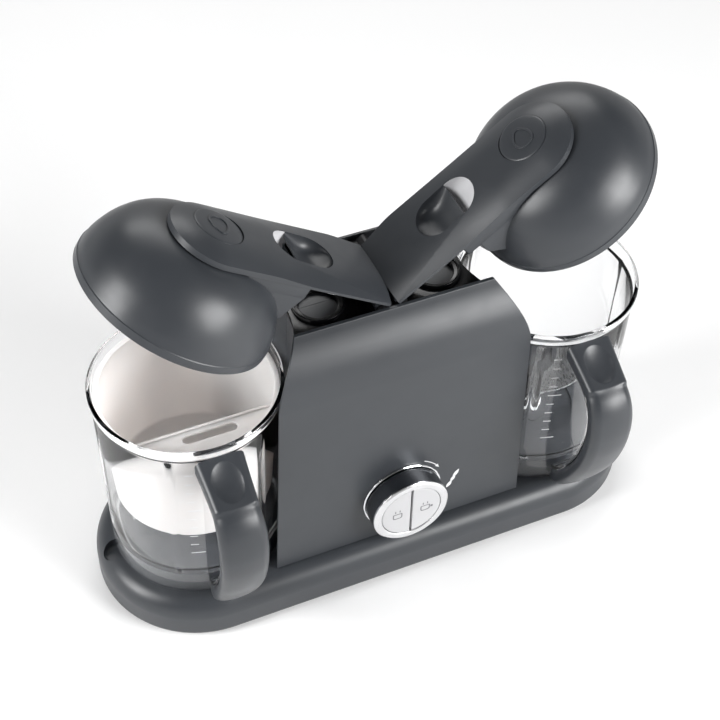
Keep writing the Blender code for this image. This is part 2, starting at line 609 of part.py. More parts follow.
make_base()
make_housing()
make_deck()
make_hinge()
make_drive()
make_electrics()
make_knob()
lid_angles = {"left": LID_OPEN_LEFT, "right": LID_OPEN_RIGHT}
neck_starts = {"left": 60.0, "right": 50.5}
for label, way in SIDES.items():
    jug_axis = empty(f"{label}_jug_axis", (way * JUG_X, 0, 0), parent=FRAME)
    make_seat(label, jug_axis)
    make_tank(label, way)
    make_drive_hub(label, jug_axis)
    make_jug(label, jug_axis)
    make_blade(label, jug_axis)
    swing = (0, -way * math.radians(lid_angles[label]), 0)
    lid_axis = empty(f"{label}_lid_axis", (way * HINGE_X, 0, HINGE_Z), swing, FRAME)
    make_lid(label, way, lid_axis, neck_starts[label])
    if label == "left":
        make_basket(jug_axis)
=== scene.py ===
"""Looks for the twin-bowl baby food maker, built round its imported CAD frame.

Sizes are in millimetres and the helpers turn them into metres. Places come from the frame: jug, hinge and knob
axes from the record's joints, heights and outlines from the CAD nodes' boxes.
"""

import json
import math

import bmesh
import bpy
from mathutils import Matrix, Vector


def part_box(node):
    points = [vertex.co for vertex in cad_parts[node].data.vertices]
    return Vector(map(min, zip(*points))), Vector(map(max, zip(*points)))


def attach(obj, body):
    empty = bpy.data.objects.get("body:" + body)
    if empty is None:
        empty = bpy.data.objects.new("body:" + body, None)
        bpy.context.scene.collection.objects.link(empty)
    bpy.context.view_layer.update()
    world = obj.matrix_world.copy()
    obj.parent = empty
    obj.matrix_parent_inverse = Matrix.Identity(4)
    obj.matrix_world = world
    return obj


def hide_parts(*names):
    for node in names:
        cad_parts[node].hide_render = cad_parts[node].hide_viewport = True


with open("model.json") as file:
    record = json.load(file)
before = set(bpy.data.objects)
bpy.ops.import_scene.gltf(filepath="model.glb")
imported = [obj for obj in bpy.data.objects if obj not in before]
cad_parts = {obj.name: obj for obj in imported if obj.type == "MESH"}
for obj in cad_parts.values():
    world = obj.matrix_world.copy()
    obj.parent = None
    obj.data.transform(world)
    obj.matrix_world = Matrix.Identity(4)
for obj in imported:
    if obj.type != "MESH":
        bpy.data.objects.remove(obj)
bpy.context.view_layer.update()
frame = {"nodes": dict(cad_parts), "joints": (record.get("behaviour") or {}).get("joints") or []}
MM = 0.001
SIDES = {"left": -1, "right": 1}
JOINTS = {joint["name"]: joint for joint in frame["joints"]}


def joint_place(name):
    return Vector(JOINTS[name]["pos_m"])


def node_mm(node, axis, end, origin=0.0):
    """One coordinate of a CAD node's box in millimetres: end 0 is its low side and 1 its high side."""
    return (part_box(node)[end][axis] - origin) / MM


def half_mm(node, axis):
    """Half of a CAD node's extent along one axis, in millimetres."""
    low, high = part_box(node)
    return (high[axis] - low[axis]) / 2 / MM


def shift(across, along=0.0):
    """A level move by so many millimetres, as a matrix in metres."""
    return Matrix.Translation((across * MM, along * MM, 0))


UPRIGHT = Matrix.Rotation(math.radians(90), 4, "X")         # turns a flat outline so that its y stands up
TO_THE_BACK = Matrix.Rotation(math.radians(-90), 4, "X")    # turns an axis from up to the back
MIDDLE_Y = joint_place("left_lid_hinge").y
CENTRE = Matrix.Translation((0, MIDDLE_Y, 0))
JUG_X = joint_place("right_blade_spin").x / MM
HINGE_X = joint_place("right_lid_hinge").x / MM
HINGE_Z = joint_place("right_lid_hinge").z / MM
BASE_TOP = node_mm("base_shell", 2, 1)
BASE_BOTTOM = node_mm("base_shell", 2, 0)
BASE_RADIUS = half_mm("base_shell", 1)
DECK_TOP = node_mm("top_deck", 2, 1)
BLOCK_TOP = node_mm("housing_front", 2, 1)
BLOCK_FRONT = -node_mm("housing_front", 1, 0, MIDDLE_Y)
JUG_BOTTOM = node_mm("right_jug", 2, 0)
JUG_TOP = node_mm("right_jug", 2, 1)
RIM_RADIUS = half_mm("right_jug", 0)
CUTAWAY_RADIUS = 68.0            # the block is hollowed to this radius about each jug's axis
WELL_X = 40.0                    # a filling well's centre, from the middle across and along the depth
WELL_Y = -3.0


# ------------------------------------------------------------------ outlines


def arc(across, up, radius, start, end, steps):
    """Points on a circular arc, angles in degrees."""
    points = []
    for step in range(steps + 1):
        angle = math.radians(start + (end - start) * step / steps)
        points.append((across + radius * math.cos(angle), up + radius * math.sin(angle)))
    return points


def stadium(radius, half, across=0.0, up=0.0, steps=48):
    return arc(across + half, up, radius, -90, 90, steps) + arc(across - half, up, radius, 90, 270, steps)


def rounded(corners, closed=False, steps=6):
    """An outline from (x, y) or (x, y, radius) corners, with the corners that have a radius rounded."""
    points = []
    count = len(corners)
    for index, corner in enumerate(corners):
        here = Vector(corner[:2])
        ends = not closed and index in (0, count - 1)
        if len(corner) < 3 or ends:
            points.append(tuple(here))
            continue
        before = Vector(corners[index - 1][:2]) - here
        after = Vector(corners[(index + 1) % count][:2]) - here
        turn = before.angle(after)
        reach = min(corner[2] / math.tan(turn / 2), before.length * 0.48, after.length * 0.48)
        start = here + before.normalized() * reach
        stop = here + after.normalized() * reach
        for step in range(steps + 1):
            t = step / steps
            points.append(tuple(start * (1 - t) ** 2 + here * 2 * t * (1 - t) + stop * t ** 2))
    return points


def flowing(points, per=6):
    """A smooth curve through the points (Catmull-Rom)."""
    known = [Vector(p) for p in points]
    known = [known[0] * 2 - known[1]] + known + [known[-1] * 2 - known[-2]]
    out = []
    for index in range(1, len(known) - 2):
        a, b, c, d = known[index - 1:index + 3]
        for step in range(per):
            t = step / per
            out.append(tuple(0.5 * (2 * b + (c - a) * t + (2 * a - 5 * b + 4 * c - d) * t * t
                                    + (3 * b - a - 3 * c + d) * t ** 3)))
    out.append(tuple(known[-2]))
    return out


def smoothstep(value):
    value = min(1.0, max(0.0, value))
    return value * value * (3 - 2 * value)


# ------------------------------------------------------------------ meshes


def piece_from(name, shape, place, look, sharp=35):
    """Make an object from a bmesh that is in millimetres; place is a matrix in metres."""
    bmesh.ops.recalc_face_normals(shape, faces=shape.faces)
    bmesh.ops.transform(shape, matrix=place @ Matrix.Diagonal((MM, MM, MM, 1)), verts=shape.verts)
    mesh = bpy.data.meshes.new(name)
    shape.to_mesh(mesh)
    shape.free()
    mesh.shade_smooth()
    mesh.set_sharp_from_angle(angle=math.radians(sharp))
    piece = bpy.data.objects.new(name, mesh)
    bpy.context.scene.collection.objects.link(piece)
    mesh.materials.append(look)
    return piece


def spun(profile, steps=144, closed=False):
    """A bmesh turned about Z from (radius, height) points."""
    shape = bmesh.new()
    line = [shape.verts.new((radius, 0, height)) for radius, height in profile]
    for first, second in zip(line, line[1:]):
        shape.edges.new((first, second))
    if closed:
        shape.edges.new((line[-1], line[0]))
    bmesh.ops.spin(shape, geom=shape.verts[:] + shape.edges[:], cent=(0, 0, 0), axis=(0, 0, 1),
                   angle=math.tau, steps=steps, use_merge=True)
    bmesh.ops.remove_doubles(shape, verts=shape.verts, dist=0.0005)
    return shape


def quads(shape, rows):
    """Faces between rows of vertices."""
    for low, high in zip(rows, rows[1:]):
        for index in range(len(low) - 1):
            shape.faces.new((low[index], low[index + 1], high[index + 1], high[index]))


def stacked(rings, caps=True, loop=False):
    """A bmesh skin over rings of points, each ring with the same count."""
    shape = bmesh.new()
    levels = [[shape.verts.new(point) for point in ring] for ring in rings]
    pairs = list(zip(levels, levels[1:]))
    if loop:
        pairs.append((levels[-1], levels[0]))
    for low, high in pairs:
        for index in range(len(low)):
            after = (index + 1) % len(low)
            shape.faces.new((low[index], low[after], high[after], high[index]))
    if caps:
        shape.faces.new(levels[0][::-1])
        shape.faces.new(levels[-1])
    bmesh.ops.remove_doubles(shape, verts=shape.verts, dist=0.0005)
    return shape


def plate(outlines, low, high, edge):
    """A bmesh of a flat plate on XY, from height low to high, with holes and rounded edges."""
    curve = bpy.data.curves.new("outline", "CURVE")
    curve.dimensions = "2D"
    curve.fill_mode = "BOTH"
    curve.extrude = max((high - low) / 2 - edge, 0.0)
    curve.bevel_depth = edge
    curve.bevel_resolution = 3
    curve.offset = -edge
    for outline in outlines:
        spline = curve.splines.new("POLY")
        spline.points.add(len(outline) - 1)
        for point, (across, up) in zip(spline.points, outline):
            point.co = (across, up, 0.0, 1.0)
        spline.use_cyclic_u = True
    holder = bpy.data.objects.new("outline", curve)
    bpy.context.scene.collection.objects.link(holder)
    bpy.context.view_layer.update()
    mesh = bpy.data.meshes.new_from_object(holder.evaluated_get(bpy.context.evaluated_depsgraph_get()))
    shape = bmesh.new()
    shape.from_mesh(mesh)
    bpy.data.objects.remove(holder)
    bpy.data.curves.remove(curve)
    bpy.data.meshes.remove(mesh)
    for face in shape.faces:
        face.material_index = 0
    bmesh.ops.remove_doubles(shape, verts=shape.verts, dist=0.001)
    bmesh.ops.translate(shape, vec=(0, 0, (low + high) / 2), verts=shape.verts)
    return shape


def block(low, high, edge=0.6):
    """A bmesh box with rounded edges."""
    shape = bmesh.new()
    size = Vector(high) - Vector(low)
    place = Matrix.Translation((Vector(high) + Vector(low)) / 2) @ Matrix.Diagonal((*size, 1.0))
    bmesh.ops.create_cube(shape, size=1.0, matrix=place)
    bmesh.ops.bevel(shape, geom=shape.edges[:] + shape.verts[:], offset=edge, segments=3, affect="EDGES",
                    profile=0.5, clamp_overlap=True)
    return shape


def moved(shape, matrix):
    bmesh.ops.transform(shape, matrix=matrix, verts=shape.verts)
    return shape


def joined(*shapes):
    """One bmesh that holds all the shapes as they lie."""
    whole = shapes[0]
    for other in shapes[1:]:
        mesh = bpy.data.meshes.new("part")
        other.to_mesh(mesh)
        other.free()
        whole.from_mesh(mesh)
        bpy.data.meshes.remove(mesh)
    return whole


def carved(shape, *cuts, operation="DIFFERENCE"):
    """The shape after EXACT Booleans with the other shapes."""
    holders = []
    for part in (shape, *cuts):
        bmesh.ops.recalc_face_normals(part, faces=part.faces)
        mesh = bpy.data.meshes.new("part")
        part.to_mesh(mesh)
        part.free()
        holder = bpy.data.objects.new("part", mesh)
        bpy.context.scene.collection.objects.link(holder)
        holders.append(holder)
    for cutter in holders[1:]:
        boolean = holders[0].modifiers.new("cut", "BOOLEAN")
        boolean.object = cutter
        boolean.operation = operation
        boolean.solver = "EXACT"
    bpy.context.view_layer.update()
    result = bmesh.new()
    result.from_object(holders[0], bpy.context.evaluated_depsgraph_get())
    for holder in holders:
        mesh = holder.data
        bpy.data.objects.remove(holder)
        bpy.data.meshes.remove(mesh)
    return result


def settle(name, shape, place, look, body, *nodes, sharp=35, even=False, slot=None):
    """A finished piece that rides on its body and stands for its CAD nodes; even keeps broad flat faces flat."""
    piece = piece_from(name, shape, place, look, sharp)
    if even:
        weighted = piece.modifiers.new("Normals", "WEIGHTED_NORMAL")
        weighted.keep_sharp = True
        weighted.weight = 90
    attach(piece, body)
    if nodes:
        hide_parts(*nodes)


# ------------------------------------------------------------------ materials


def feed(tree, node, **inputs):
    """Set a node's inputs from numbers, or link them from sockets; Two_Words stands for the input Two Words."""
    for key, value in inputs.items():
        socket = node.inputs[key.replace("_", " ")]
        if isinstance(value, bpy.types.NodeSocket):
            tree.links.new(value, socket)
        else:
            socket.default_value = value
    return node


def added(tree, kind, **inputs):
    return feed(tree, tree.nodes.new(f"ShaderNode{kind}"), **inputs)


def surface(name, colour, roughness, metallic=0.0):
    """A Principled material with object coordinates ready for its textures."""
    made = bpy.data.materials.new(name)
    made.use_nodes = True
    tree = made.node_tree
    shader = tree.nodes["Principled BSDF"]
    feed(tree, shader, Base_Color=(*colour, 1.0), Roughness=roughness, Metallic=metallic)
    added(tree, "TexCoord").name = "where"
    return made, tree, shader


def noise(tree, scale, detail=3.0, stretch=(1, 1, 1)):
    """Noise over the object, scale in cells per metre."""
    mapping = added(tree, "Mapping", Scale=stretch, Vector=tree.nodes["where"].outputs["Object"])
    return added(tree, "TexNoise", Scale=scale, Detail=detail, Vector=mapping.outputs["Vector"]).outputs["Fac"]


def spread(tree, source, low, high):
    """Map a texture's middle range on to low..high."""
    ramp = added(tree, "MapRange", Value=source, From_Min=0.3, From_Max=0.7, To_Min=low, To_Max=high)
    return ramp.outputs["Result"]


def tint(tree, shader, source, dark, light):
    """Let the base colour drift between two close colours."""
    mix = added(tree, "Mix")
    mix.data_type = "RGBA"
    feed(tree, mix, A=(*dark, 1.0), B=(*light, 1.0), Factor=spread(tree, source, 0.0, 1.0))
    feed(tree, shader, Base_Color=mix.outputs["Result"])


def grain(tree, shader, source, height):
    """Bump from a texture, height in millimetres."""
    bump = added(tree, "Bump", Strength=1.0, Distance=height * MM, Height=source)
    feed(tree, shader, Normal=bump.outputs["Normal"])


def shaded(colour, share):
    return tuple(channel * share for channel in colour)


def moulded(name, colour, roughness, grain_height=0.012, coat=0.0):
    """Moulded plastic: fine spark texture, slow drift in colour and sheen."""
    made, tree, shader = surface(name, colour, roughness)
    feed(tree, shader, Coat_Weight=coat, Coat_Roughness=0.12)
    tint(tree, shader, noise(tree, 14), shaded(colour, 0.95), shaded(colour, 1.05))
    feed(tree, shader, Roughness=spread(tree, noise(tree, 60, 4), roughness * 0.92, roughness * 1.1))
    grain(tree, shader, noise(tree, 2600, 2), grain_height)
    return made


def metal(name, colour, roughness, stretch=(1, 1, 1), grain_height=0.004, scale=900):
    """Bare metal with a brushed or cast surface, by how its noise is stretched."""
    made, tree, shader = surface(name, colour, roughness, 1.0)
    tint(tree, shader, noise(tree, 30), shaded(colour, 0.92), colour)
    brushed = noise(tree, scale, 3, stretch)
    feed(tree, shader, Roughness=spread(tree, brushed, roughness * 0.75, roughness * 1.3))
    grain(tree, shader, brushed, grain_height)
    return made


def clear(name, colour, roughness):
    """Clear plastic that lets the light of lamps through."""
    made, tree, shader = surface(name, colour, roughness)
    feed(tree, shader, Transmission_Weight=1.0, Specular_IOR_Level=0.2, IOR=PLASTIC_IOR)
    grain(tree, shader, noise(tree, 26, 1), 0.005)
    lit = added(tree, "MixShader", Fac=added(tree, "LightPath").outputs["Is Shadow Ray"])
    tree.links.new(shader.outputs["BSDF"], lit.inputs[1])
    tree.links.new(added(tree, "BsdfTransparent").outputs["BSDF"], lit.inputs[2])
    feed(tree, tree.nodes["Material Output"], Surface=lit.outputs["Shader"])
    return made


def milky(name, colour, roughness, through):
    """Milky plastic or silicone that light passes a little way into."""
    made, tree, shader = surface(name, colour, roughness)
    feed(tree, shader, Transmission_Weight=through, IOR=PLASTIC_IOR, Subsurface_Weight=0.7,
         Subsurface_Radius=(1.0, 0.9, 0.85), Subsurface_Scale=0.012)
    tint(tree, shader, noise(tree, 25), shaded(colour, 0.97), colour)
    grain(tree, shader, noise(tree, 1800, 2), 0.008)
    return made


def board_green(name):
    """Green solder mask over a faint grid of copper tracks."""
    made, tree, shader = surface(name, (0.02, 0.14, 0.05), 0.35)
    bricks = added(tree, "TexBrick", Scale=90, Color1=(0.02, 0.14, 0.05, 1), Color2=(0.02, 0.12, 0.05, 1),
                   Mortar=(0.16, 0.2, 0.06, 1), Vector=tree.nodes["where"].outputs["Object"])
    feed(tree, shader, Base_Color=bricks.outputs["Color"])
    grain(tree, shader, bricks.outputs["Fac"], 0.03)
    return made


PLASTIC_IOR = 1.4
GREY = moulded("satin_grey", (0.034, 0.0375, 0.043), 0.37)
SEAT_GREY = moulded("seat_grey", (0.034, 0.0375, 0.043), 0.43)
BLACK = moulded("matt_black", (0.014, 0.014, 0.016), 0.5, 0.02)
GLOSS = moulded("gloss_black", (0.006, 0.006, 0.007), 0.2, 0.001)
DRUM = metal("dark_chrome", (0.27, 0.28, 0.3), 0.16, grain_height=0.001, scale=400)
RUBBER = moulded("soft_rubber", (0.02, 0.02, 0.021), 0.8, 0.03)
BELT = moulded("belt_rubber", (0.015, 0.015, 0.015), 0.7, 0.05)
BRONZE = metal("sintered_bronze", (0.5, 0.34, 0.16), 0.42, grain_height=0.02, scale=2500)
STEEL = metal("brushed_steel", (0.56, 0.57, 0.58), 0.28, (1, 1, 0.06))
CAST = metal("cast_aluminium", (0.6, 0.6, 0.61), 0.5, grain_height=0.05, scale=1500)
CHROME = metal("bright_chrome", (0.86, 0.87, 0.88), 0.08, grain_height=0.0005, scale=500)
SILVER = metal("satin_silver", (0.8, 0.8, 0.81), 0.22, grain_height=0.002, scale=1200)
BUTTON = moulded("button_silver", (0.5, 0.5, 0.51), 0.3, 0.004, coat=0.2)
WHITE = moulded("liner_white", (0.62, 0.62, 0.635), 0.3, 0.004)
BASKET = milky("basket_milky", (0.81, 0.765, 0.74), 0.42, 0.04)
SILICONE = milky("silicone", (0.66, 0.67, 0.68), 0.5, 0.1)
CLEAR = clear("clear_plastic", (0.968, 0.97, 0.975), 0.02)
BOARD = board_green("circuit_board")
PRINT = moulded("white_print", (0.75, 0.75, 0.76), 0.5, 0.002)
# Painted shade: a near-black brown for the cup down each filling well, standing in for the shade deep in the well.
WELL_SHADE = moulded("painted_well_shade", (0.035, 0.028, 0.014), 0.35, 0.02)
DARK_PRINT = moulded("grey_print", (0.16, 0.16, 0.17), 0.5, 0.002)


# ------------------------------------------------------------------ base and block


def ring_of(radius, half, height):
    return [(across, along, height) for across, along in stadium(radius, half, steps=56)]


def make_base():
    """The plinth: a broad rounding on top, a rolled edge below, and the rim that its cover sits in."""
    rounding = 15.0
    rolled = 4.5
    cover_half = node_mm("base_cover", 0, 1) - half_mm("base_cover", 1)
    top_radius = BASE_RADIUS - rounding
    profile = [(top_radius - 30, BASE_TOP), (top_radius - 2, BASE_TOP)]
    profile += arc(top_radius, BASE_TOP - rounding, rounding, 90, 0, 14)
    profile += arc(BASE_RADIUS - rolled, BASE_BOTTOM + rolled, rolled, 0, -90, 6)
    rings = [ring_of(radius, JUG_X, height) for radius, height in profile]
    rings += [ring_of(65.9, cover_half, BASE_BOTTOM), ring_of(65.5, cover_half, BASE_BOTTOM + 0.5)]
    rings += [ring_of(65.5, cover_half, 28.0), ring_of(58.0, cover_half, 32.5)]
    shell = stacked(rings)
    cuts = []
    notch_x = node_mm("base_shell", 0, 1) - 11.2
    for side in SIDES.values():
        notch = spun(rounded([(0, 60), (8, 60), (8, 28, 3), (0, 28)]), 48)
        cuts.append(moved(notch, Matrix.Translation((side * notch_x, 0, 0))))
    settle("base_shell_looks", carved(shell, *cuts), CENTRE, GREY, "base", "base_shell", even=True,
           slot="grey_plastic")


def make_feet():
    for corner in ("front_left", "front_right", "rear_left", "rear_right"):
        node = f"foot_{corner}"
        low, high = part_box(node)
        radius = half_mm(node, 0)
        top = high.z / MM
        place = Matrix.Translation(((low.x + high.x) / 2, (low.y + high.y) / 2, 0))
        profile = rounded([(0, 0.6), (4, 0.6), (4.4, 0, 0.3), (radius - 0.2, 0, 0.8), (radius, 1.2, 0.4),
                           (radius, top, 0.3), (0, top)])
        settle(f"{node}_looks", spun(profile, 64), place, RUBBER, "base", node, slot="rubber")


def make_seats():
    """The drum under each jug, with a ridge round its top and the drive opening."""
    for name in SIDES:
        low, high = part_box(f"{name}_jug_seat")
        radius = half_mm(f"{name}_jug_seat", 0)
        top = high.z / MM
        bottom = BASE_TOP + 0.2
        profile = rounded([(8.4, top - 14), (8.4, top), (18, top), (18, top - 1.2), (34, top - 1.2), (34, top),
                           (radius, top, 1.6), (radius, bottom), (radius - 2.5, bottom), (radius - 2.5, top - 3),
                           (11, top - 3), (11, top - 14)], closed=True)
        place = Matrix.Translation(((low.x + high.x) / 2, MIDDLE_Y, 0))
        settle(f"{name}_jug_seat_looks", spun(profile, closed=True), place, SEAT_GREY, "base", f"{name}_jug_seat",
               slot="grey_plastic")


def half_depth(height, foot, knee, knee_height, edge):
    """How far the block's face is from the middle plane: a leaning panel, then an arc to the top edge."""
    if height <= knee_height:
        return foot + (knee - foot) * (height - BASE_TOP) / (knee_height - BASE_TOP)
    inward = knee - edge - 2.1
    rise = BLOCK_TOP - knee_height
    radius = (inward ** 2 + rise ** 2) / (2 * inward)
    return knee - radius + math.sqrt(max(radius ** 2 - (height - knee_height) ** 2, 0.0))


def block_ring(face, back, height, sign):
    """One level of a half of the block: face and back are distances from the middle plane."""
    fillet = min(0.6, (face - back) * 0.3)
    centre_depth = face - fillet
    centre_x = JUG_X - math.sqrt((CUTAWAY_RADIUS + fillet) ** 2 - centre_depth ** 2)
    turn = math.degrees(math.atan2(centre_depth, JUG_X - centre_x))
    points = arc(centre_x, -centre_depth, fillet, -90, turn, 8)
    first = math.asin((centre_depth * CUTAWAY_RADIUS / (CUTAWAY_RADIUS + fillet)) / CUTAWAY_RADIUS)
    last = math.asin(back / CUTAWAY_RADIUS)
    for step in range(1, 25):
        angle = first + (last - first) * step / 24
        points.append((JUG_X - CUTAWAY_RADIUS * math.cos(angle), -CUTAWAY_RADIUS * math.sin(angle)))
    points += [(-across, depth) for across, depth in reversed(points)]
    return [(across, -sign * depth, height) for across, depth in points]


def make_block():
    """The two halves of the block between the jugs, hollowed round each jug."""
    knee = BLOCK_FRONT - 3.5
    knee_height = 187.0
    foot = BASE_TOP + 1.1
    ridge_height = BLOCK_TOP - 0.6
    shelf = DECK_TOP - 3.3
    for name, sign in (("housing_front", -1), ("housing_rear", 1)):
        edge = 30.0 if sign < 0 else 37.0
        face = [(BASE_TOP + 0.5, 0.7), (foot, 0.0)]
        face += [(foot + (knee_height - foot) * step / 10, 0.0) for step in range(1, 11)]
        face += [(knee_height + (ridge_height - knee_height) * step / 26, 0.0) for step in range(1, 27)]
        rings = []
        for height, trim in face:
            depth = half_depth(height, BLOCK_FRONT, knee, knee_height, edge) - trim
            back = 0.15 if height <= shelf else edge
            if height > shelf and rings[-1][1] < edge:
                at_shelf = half_depth(shelf, BLOCK_FRONT, knee, knee_height, edge)
                rings += [(shelf, 0.15 + (edge - 0.15) * step / 16, at_shelf) for step in range(17)]
            rings.append((height, back, depth))
        ridge = half_depth(ridge_height, BLOCK_FRONT, knee, knee_height, edge)
        rings.append((BLOCK_TOP - 0.15, edge + 0.15, ridge - 0.4))
        rings.append((BLOCK_TOP, edge + 0.6, ridge - 0.95))
        shape = stacked([block_ring(depth, back, height, sign) for height, back, depth in rings])
        settle(f"{name}_looks", shape, CENTRE, GREY, "base", name, sharp=30, even=True, slot="grey_plastic")


def make_deck():
    """The dished gloss deck, with a raised ring and a deep mouth at each filling well."""
    front = node_mm("top_deck", 1, 0, MIDDLE_Y)
    rear = node_mm("top_deck", 1, 1, MIDDLE_Y)
    tank_radius = half_mm("left_water_tank", 0)
    across_steps = 150
    along_steps = 70
    dish_radius = 27
    lip = 2.5                        # the deck turns up over this width at its front and rear

    def level(across, along):
        near = min(math.hypot(across - side * WELL_X, along - WELL_Y) for side in SIDES.values())
        turned_up = smoothstep((front + lip - along) / lip) + smoothstep((along - rear + lip) / lip)
        return DECK_TOP - smoothstep((dish_radius - near) / 10) + 1.2 * turned_up

    shape = bmesh.new()
    rows = []
    for row in range(along_steps + 1):
        along = front + (rear - front) * row / along_steps
        limit = JUG_X - math.sqrt(CUTAWAY_RADIUS ** 2 - along ** 2) - 0.3
        line = []
        for column in range(across_steps + 1):
            across = limit * (2 * column / across_steps - 1)
            line.append(shape.verts.new((across, along, level(across, along))))
        rows.append(line)
    for low, high in zip(rows, rows[1:]):
        for column in range(across_steps):
            corners = (low[column], low[column + 1], high[column + 1], high[column])
            middle = sum((corner.co for corner in corners), Vector()) / 4
            gaps = [math.hypot(middle.x - side * WELL_X, middle.y - WELL_Y) for side in SIDES.values()]
            if min(gaps) > 14.0:
                shape.faces.new(corners)
    loose = [vertex for vertex in shape.verts if not vertex.link_faces]
    bmesh.ops.delete(shape, geom=loose, context="VERTS")
    skirt = bmesh.ops.extrude_edge_only(shape, edges=[edge for edge in shape.edges if edge.is_boundary])
    dropped = [item for item in skirt["geom"] if isinstance(item, bmesh.types.BMVert)]
    bmesh.ops.translate(shape, vec=(0, 0, -2.6), verts=dropped)
    settle("top_deck_looks", shape, CENTRE, GLOSS, "base", "top_deck", sharp=40, slot="gloss_black")
    mouth = rounded([(17.4, DECK_TOP - 2.2), (17.2, DECK_TOP - 0.6, 0.4), (16.4, DECK_TOP + 1.2, 0.5),
                     (15.4, DECK_TOP + 1.2, 0.4), (15.0, DECK_TOP + 0.2, 0.3), (12.6, DECK_TOP - 0.2, 1.0),
                     (12.0, DECK_TOP - 2, 0.8), (12.0, DECK_TOP - 15), (13.2, DECK_TOP - 15),
                     (13.2, DECK_TOP - 2.4)], closed=True, steps=4)
    for name, side in SIDES.items():
        place = CENTRE @ shift(side * WELL_X, WELL_Y)
        settle(f"{name}_well_rim", spun(mouth, closed=True), place, GLOSS, "base", slot="gloss_black")
        # A dark cup down each well, over the steel tank: painted shade for the shade deep inside the well, not the
        # tank's own colour.
        cup = rounded([(0, DECK_TOP - 40), (tank_radius - 4, DECK_TOP - 40, 3), (tank_radius - 3.2, DECK_TOP - 15.2)])
        settle(f"{name}_well_shade_cup", spun(cup, 96), place, WELL_SHADE, "base")


# ------------------------------------------------------------------ lids


DOME_PROFILE = [(0, 5.2), (22, 5.2), (33, 3.4), (43, -1.5), (51, -8.5), (57.5, -18), (61.8, -28.5), (63.4, -36)]
LINER_INSIDE = [(0, -0.6), (20.5, -0.6), (34.4, -4.2), (48.8, -17.2), (57.6, -36.2)]
NECK_HALF = 28.8                 # the neck that joins the dome to the strap reaches this far each way
STRAP_TOP = 11.8                 # the top's height by the hinge, and at its crown above the dome
STRAP_CROWN = 15.2
STRAP_BOTTOM = 5.5
STRAP_FRONT = 30.5               # the strap's edges, each way from the lid's middle line
STRAP_REAR = 26.8
STRAP_MIDDLE = (STRAP_REAR - STRAP_FRONT) / 2
STRAP_END_RADIUS = (STRAP_REAR + STRAP_FRONT) / 2
STRAP_END_U = 121.2
SLOT_NEAR = 50.3
SLOT_FAR = 65.3
SLOT_RADIUS = 14.6
SLOT_FLOOR_END = 62.4            # where the openings through the dome and the arm start
SCOOP_END = 64.6                 # the scooped floor rises to an edge here, and the white inner lid shows beyond it
BADGE_U = 120.6
BADGE_RADIUS = 15.8
BARREL_REAR = 28.0


def lid_place(name):
    """The lid's own frame as it stands open: x outward times side, y to the back, z up from the hinge axis."""
    hinge = JOINTS[f"{name}_lid_hinge"]
    opened = math.radians(max(abs(limit) for limit in hinge["range_deg"]))
    return Matrix.Translation(hinge["pos_m"]) @ Matrix.Rotation(-SIDES[name] * opened, 4, "Y")


def sided(points, side):
    return [(side * across, along) for across, along in points]


def side_block(side, low, high, edge):
    ends = sorted((side * low[0], side * high[0]))
    return block((ends[0], low[1], low[2]), (ends[1], high[1], high[2]), edge)


def make_dome(name, side, place, neck_start):
    """The dome with its rim band, the neck under the strap and the way through for the finger slot."""
    axis = Matrix.Translation((side * (JUG_X - HINGE_X), 0, 0))
    outside = flowing(DOME_PROFILE, 5) + [(63.5, -36.4), (64.0, -36.9), (64.0, -41.7), (63.5, -42.2)]
    inside = [(62.6, -42.2), (62.5, -36.8), (60.1, -28.8), (52.6, -13.8), (41.5, -3.2), (21.7, 3.4), (0, 3.4)]
    dome = moved(spun(outside + inside, 160), axis)
    neck = side_block(side, (neck_start, -NECK_HALF, -4.3), (106, NECK_HALF, 5.0), 1.2)
    outline = sided([(neck_start + 0.6, -3.0), (92, -3.0), (92, -24), (69.8, -24)], side)
    gusset = moved(plate([outline], -NECK_HALF, NECK_HALF, 0.6), UPRIGHT)
    keep = moved(spun([(0, 10), (66.8, 10), (66.8, -50), (0, -50)], 96), axis)
    gusset = carved(gusset, keep, operation="INTERSECT")
    hollow = moved(spun([(0, 10), (60.5, -28.0), (0, -28.0)], 96), axis)
    gusset = carved(gusset, hollow)
    recess = side_block(side, (0, -19.4, -1.4), (SLOT_FLOOR_END, 19.4, 20), 0.3)
    slot = stadium(SLOT_RADIUS, (SLOT_FAR - SLOT_NEAR) / 2, (SLOT_NEAR + SLOT_FAR) / 2, steps=20)
    opening = plate([sided([(max(x, SLOT_FLOOR_END), y) for x, y in slot], side)], -40, 20, 0.2)
    neck = carved(neck, recess, opening.copy())
    dome = joined(carved(dome, opening), gusset)
    settle(f"{name}_lid_dome_looks", joined(dome, neck), place, GREY, f"{name}_lid", f"{name}_lid_dome", sharp=30,
           slot="grey_plastic")


def make_liner(name, side, place):
    """The white inner lid, with a steam baffle in its crown, and the soft seal round its edge."""
    axis = place @ shift(side * (JUG_X - HINGE_X))
    outside = flowing([(0, 1.0), (21, 1.0), (35, -2.6), (50, -16.2), (59.0, -35.4)], 6)
    rim = [(61.8, -35.4), (61.8, -36.8), (58.2, -36.8)]
    inside = flowing(LINER_INSIDE[::-1], 6)
    settle(f"{name}_lid_liner_looks", spun(outside + rim + inside), axis, WHITE, f"{name}_lid", f"{name}_lid_liner",
           slot="white_plastic")
    baffle = rounded([(0, -4.5), (11, -4.5, 1.5), (13, -1.2), (0, -1.2)])
    settle(f"{name}_steam_baffle", spun(baffle, 96), axis, WHITE, f"{name}_lid", slot="white_plastic")
    lip = rounded([(57.8, -37.2), (62.1, -37.2, 0.4), (62.1, -39.4, 0.8), (60.2, -40.6, 0.5), (59.4, -39.2, 0.4),
                   (57.8, -40.6, 0.5)], closed=True, steps=4)
    settle(f"{name}_lid_seal_looks", spun(lip, closed=True), axis, SILICONE, f"{name}_lid", f"{name}_lid_seal",
           slot="silicone")


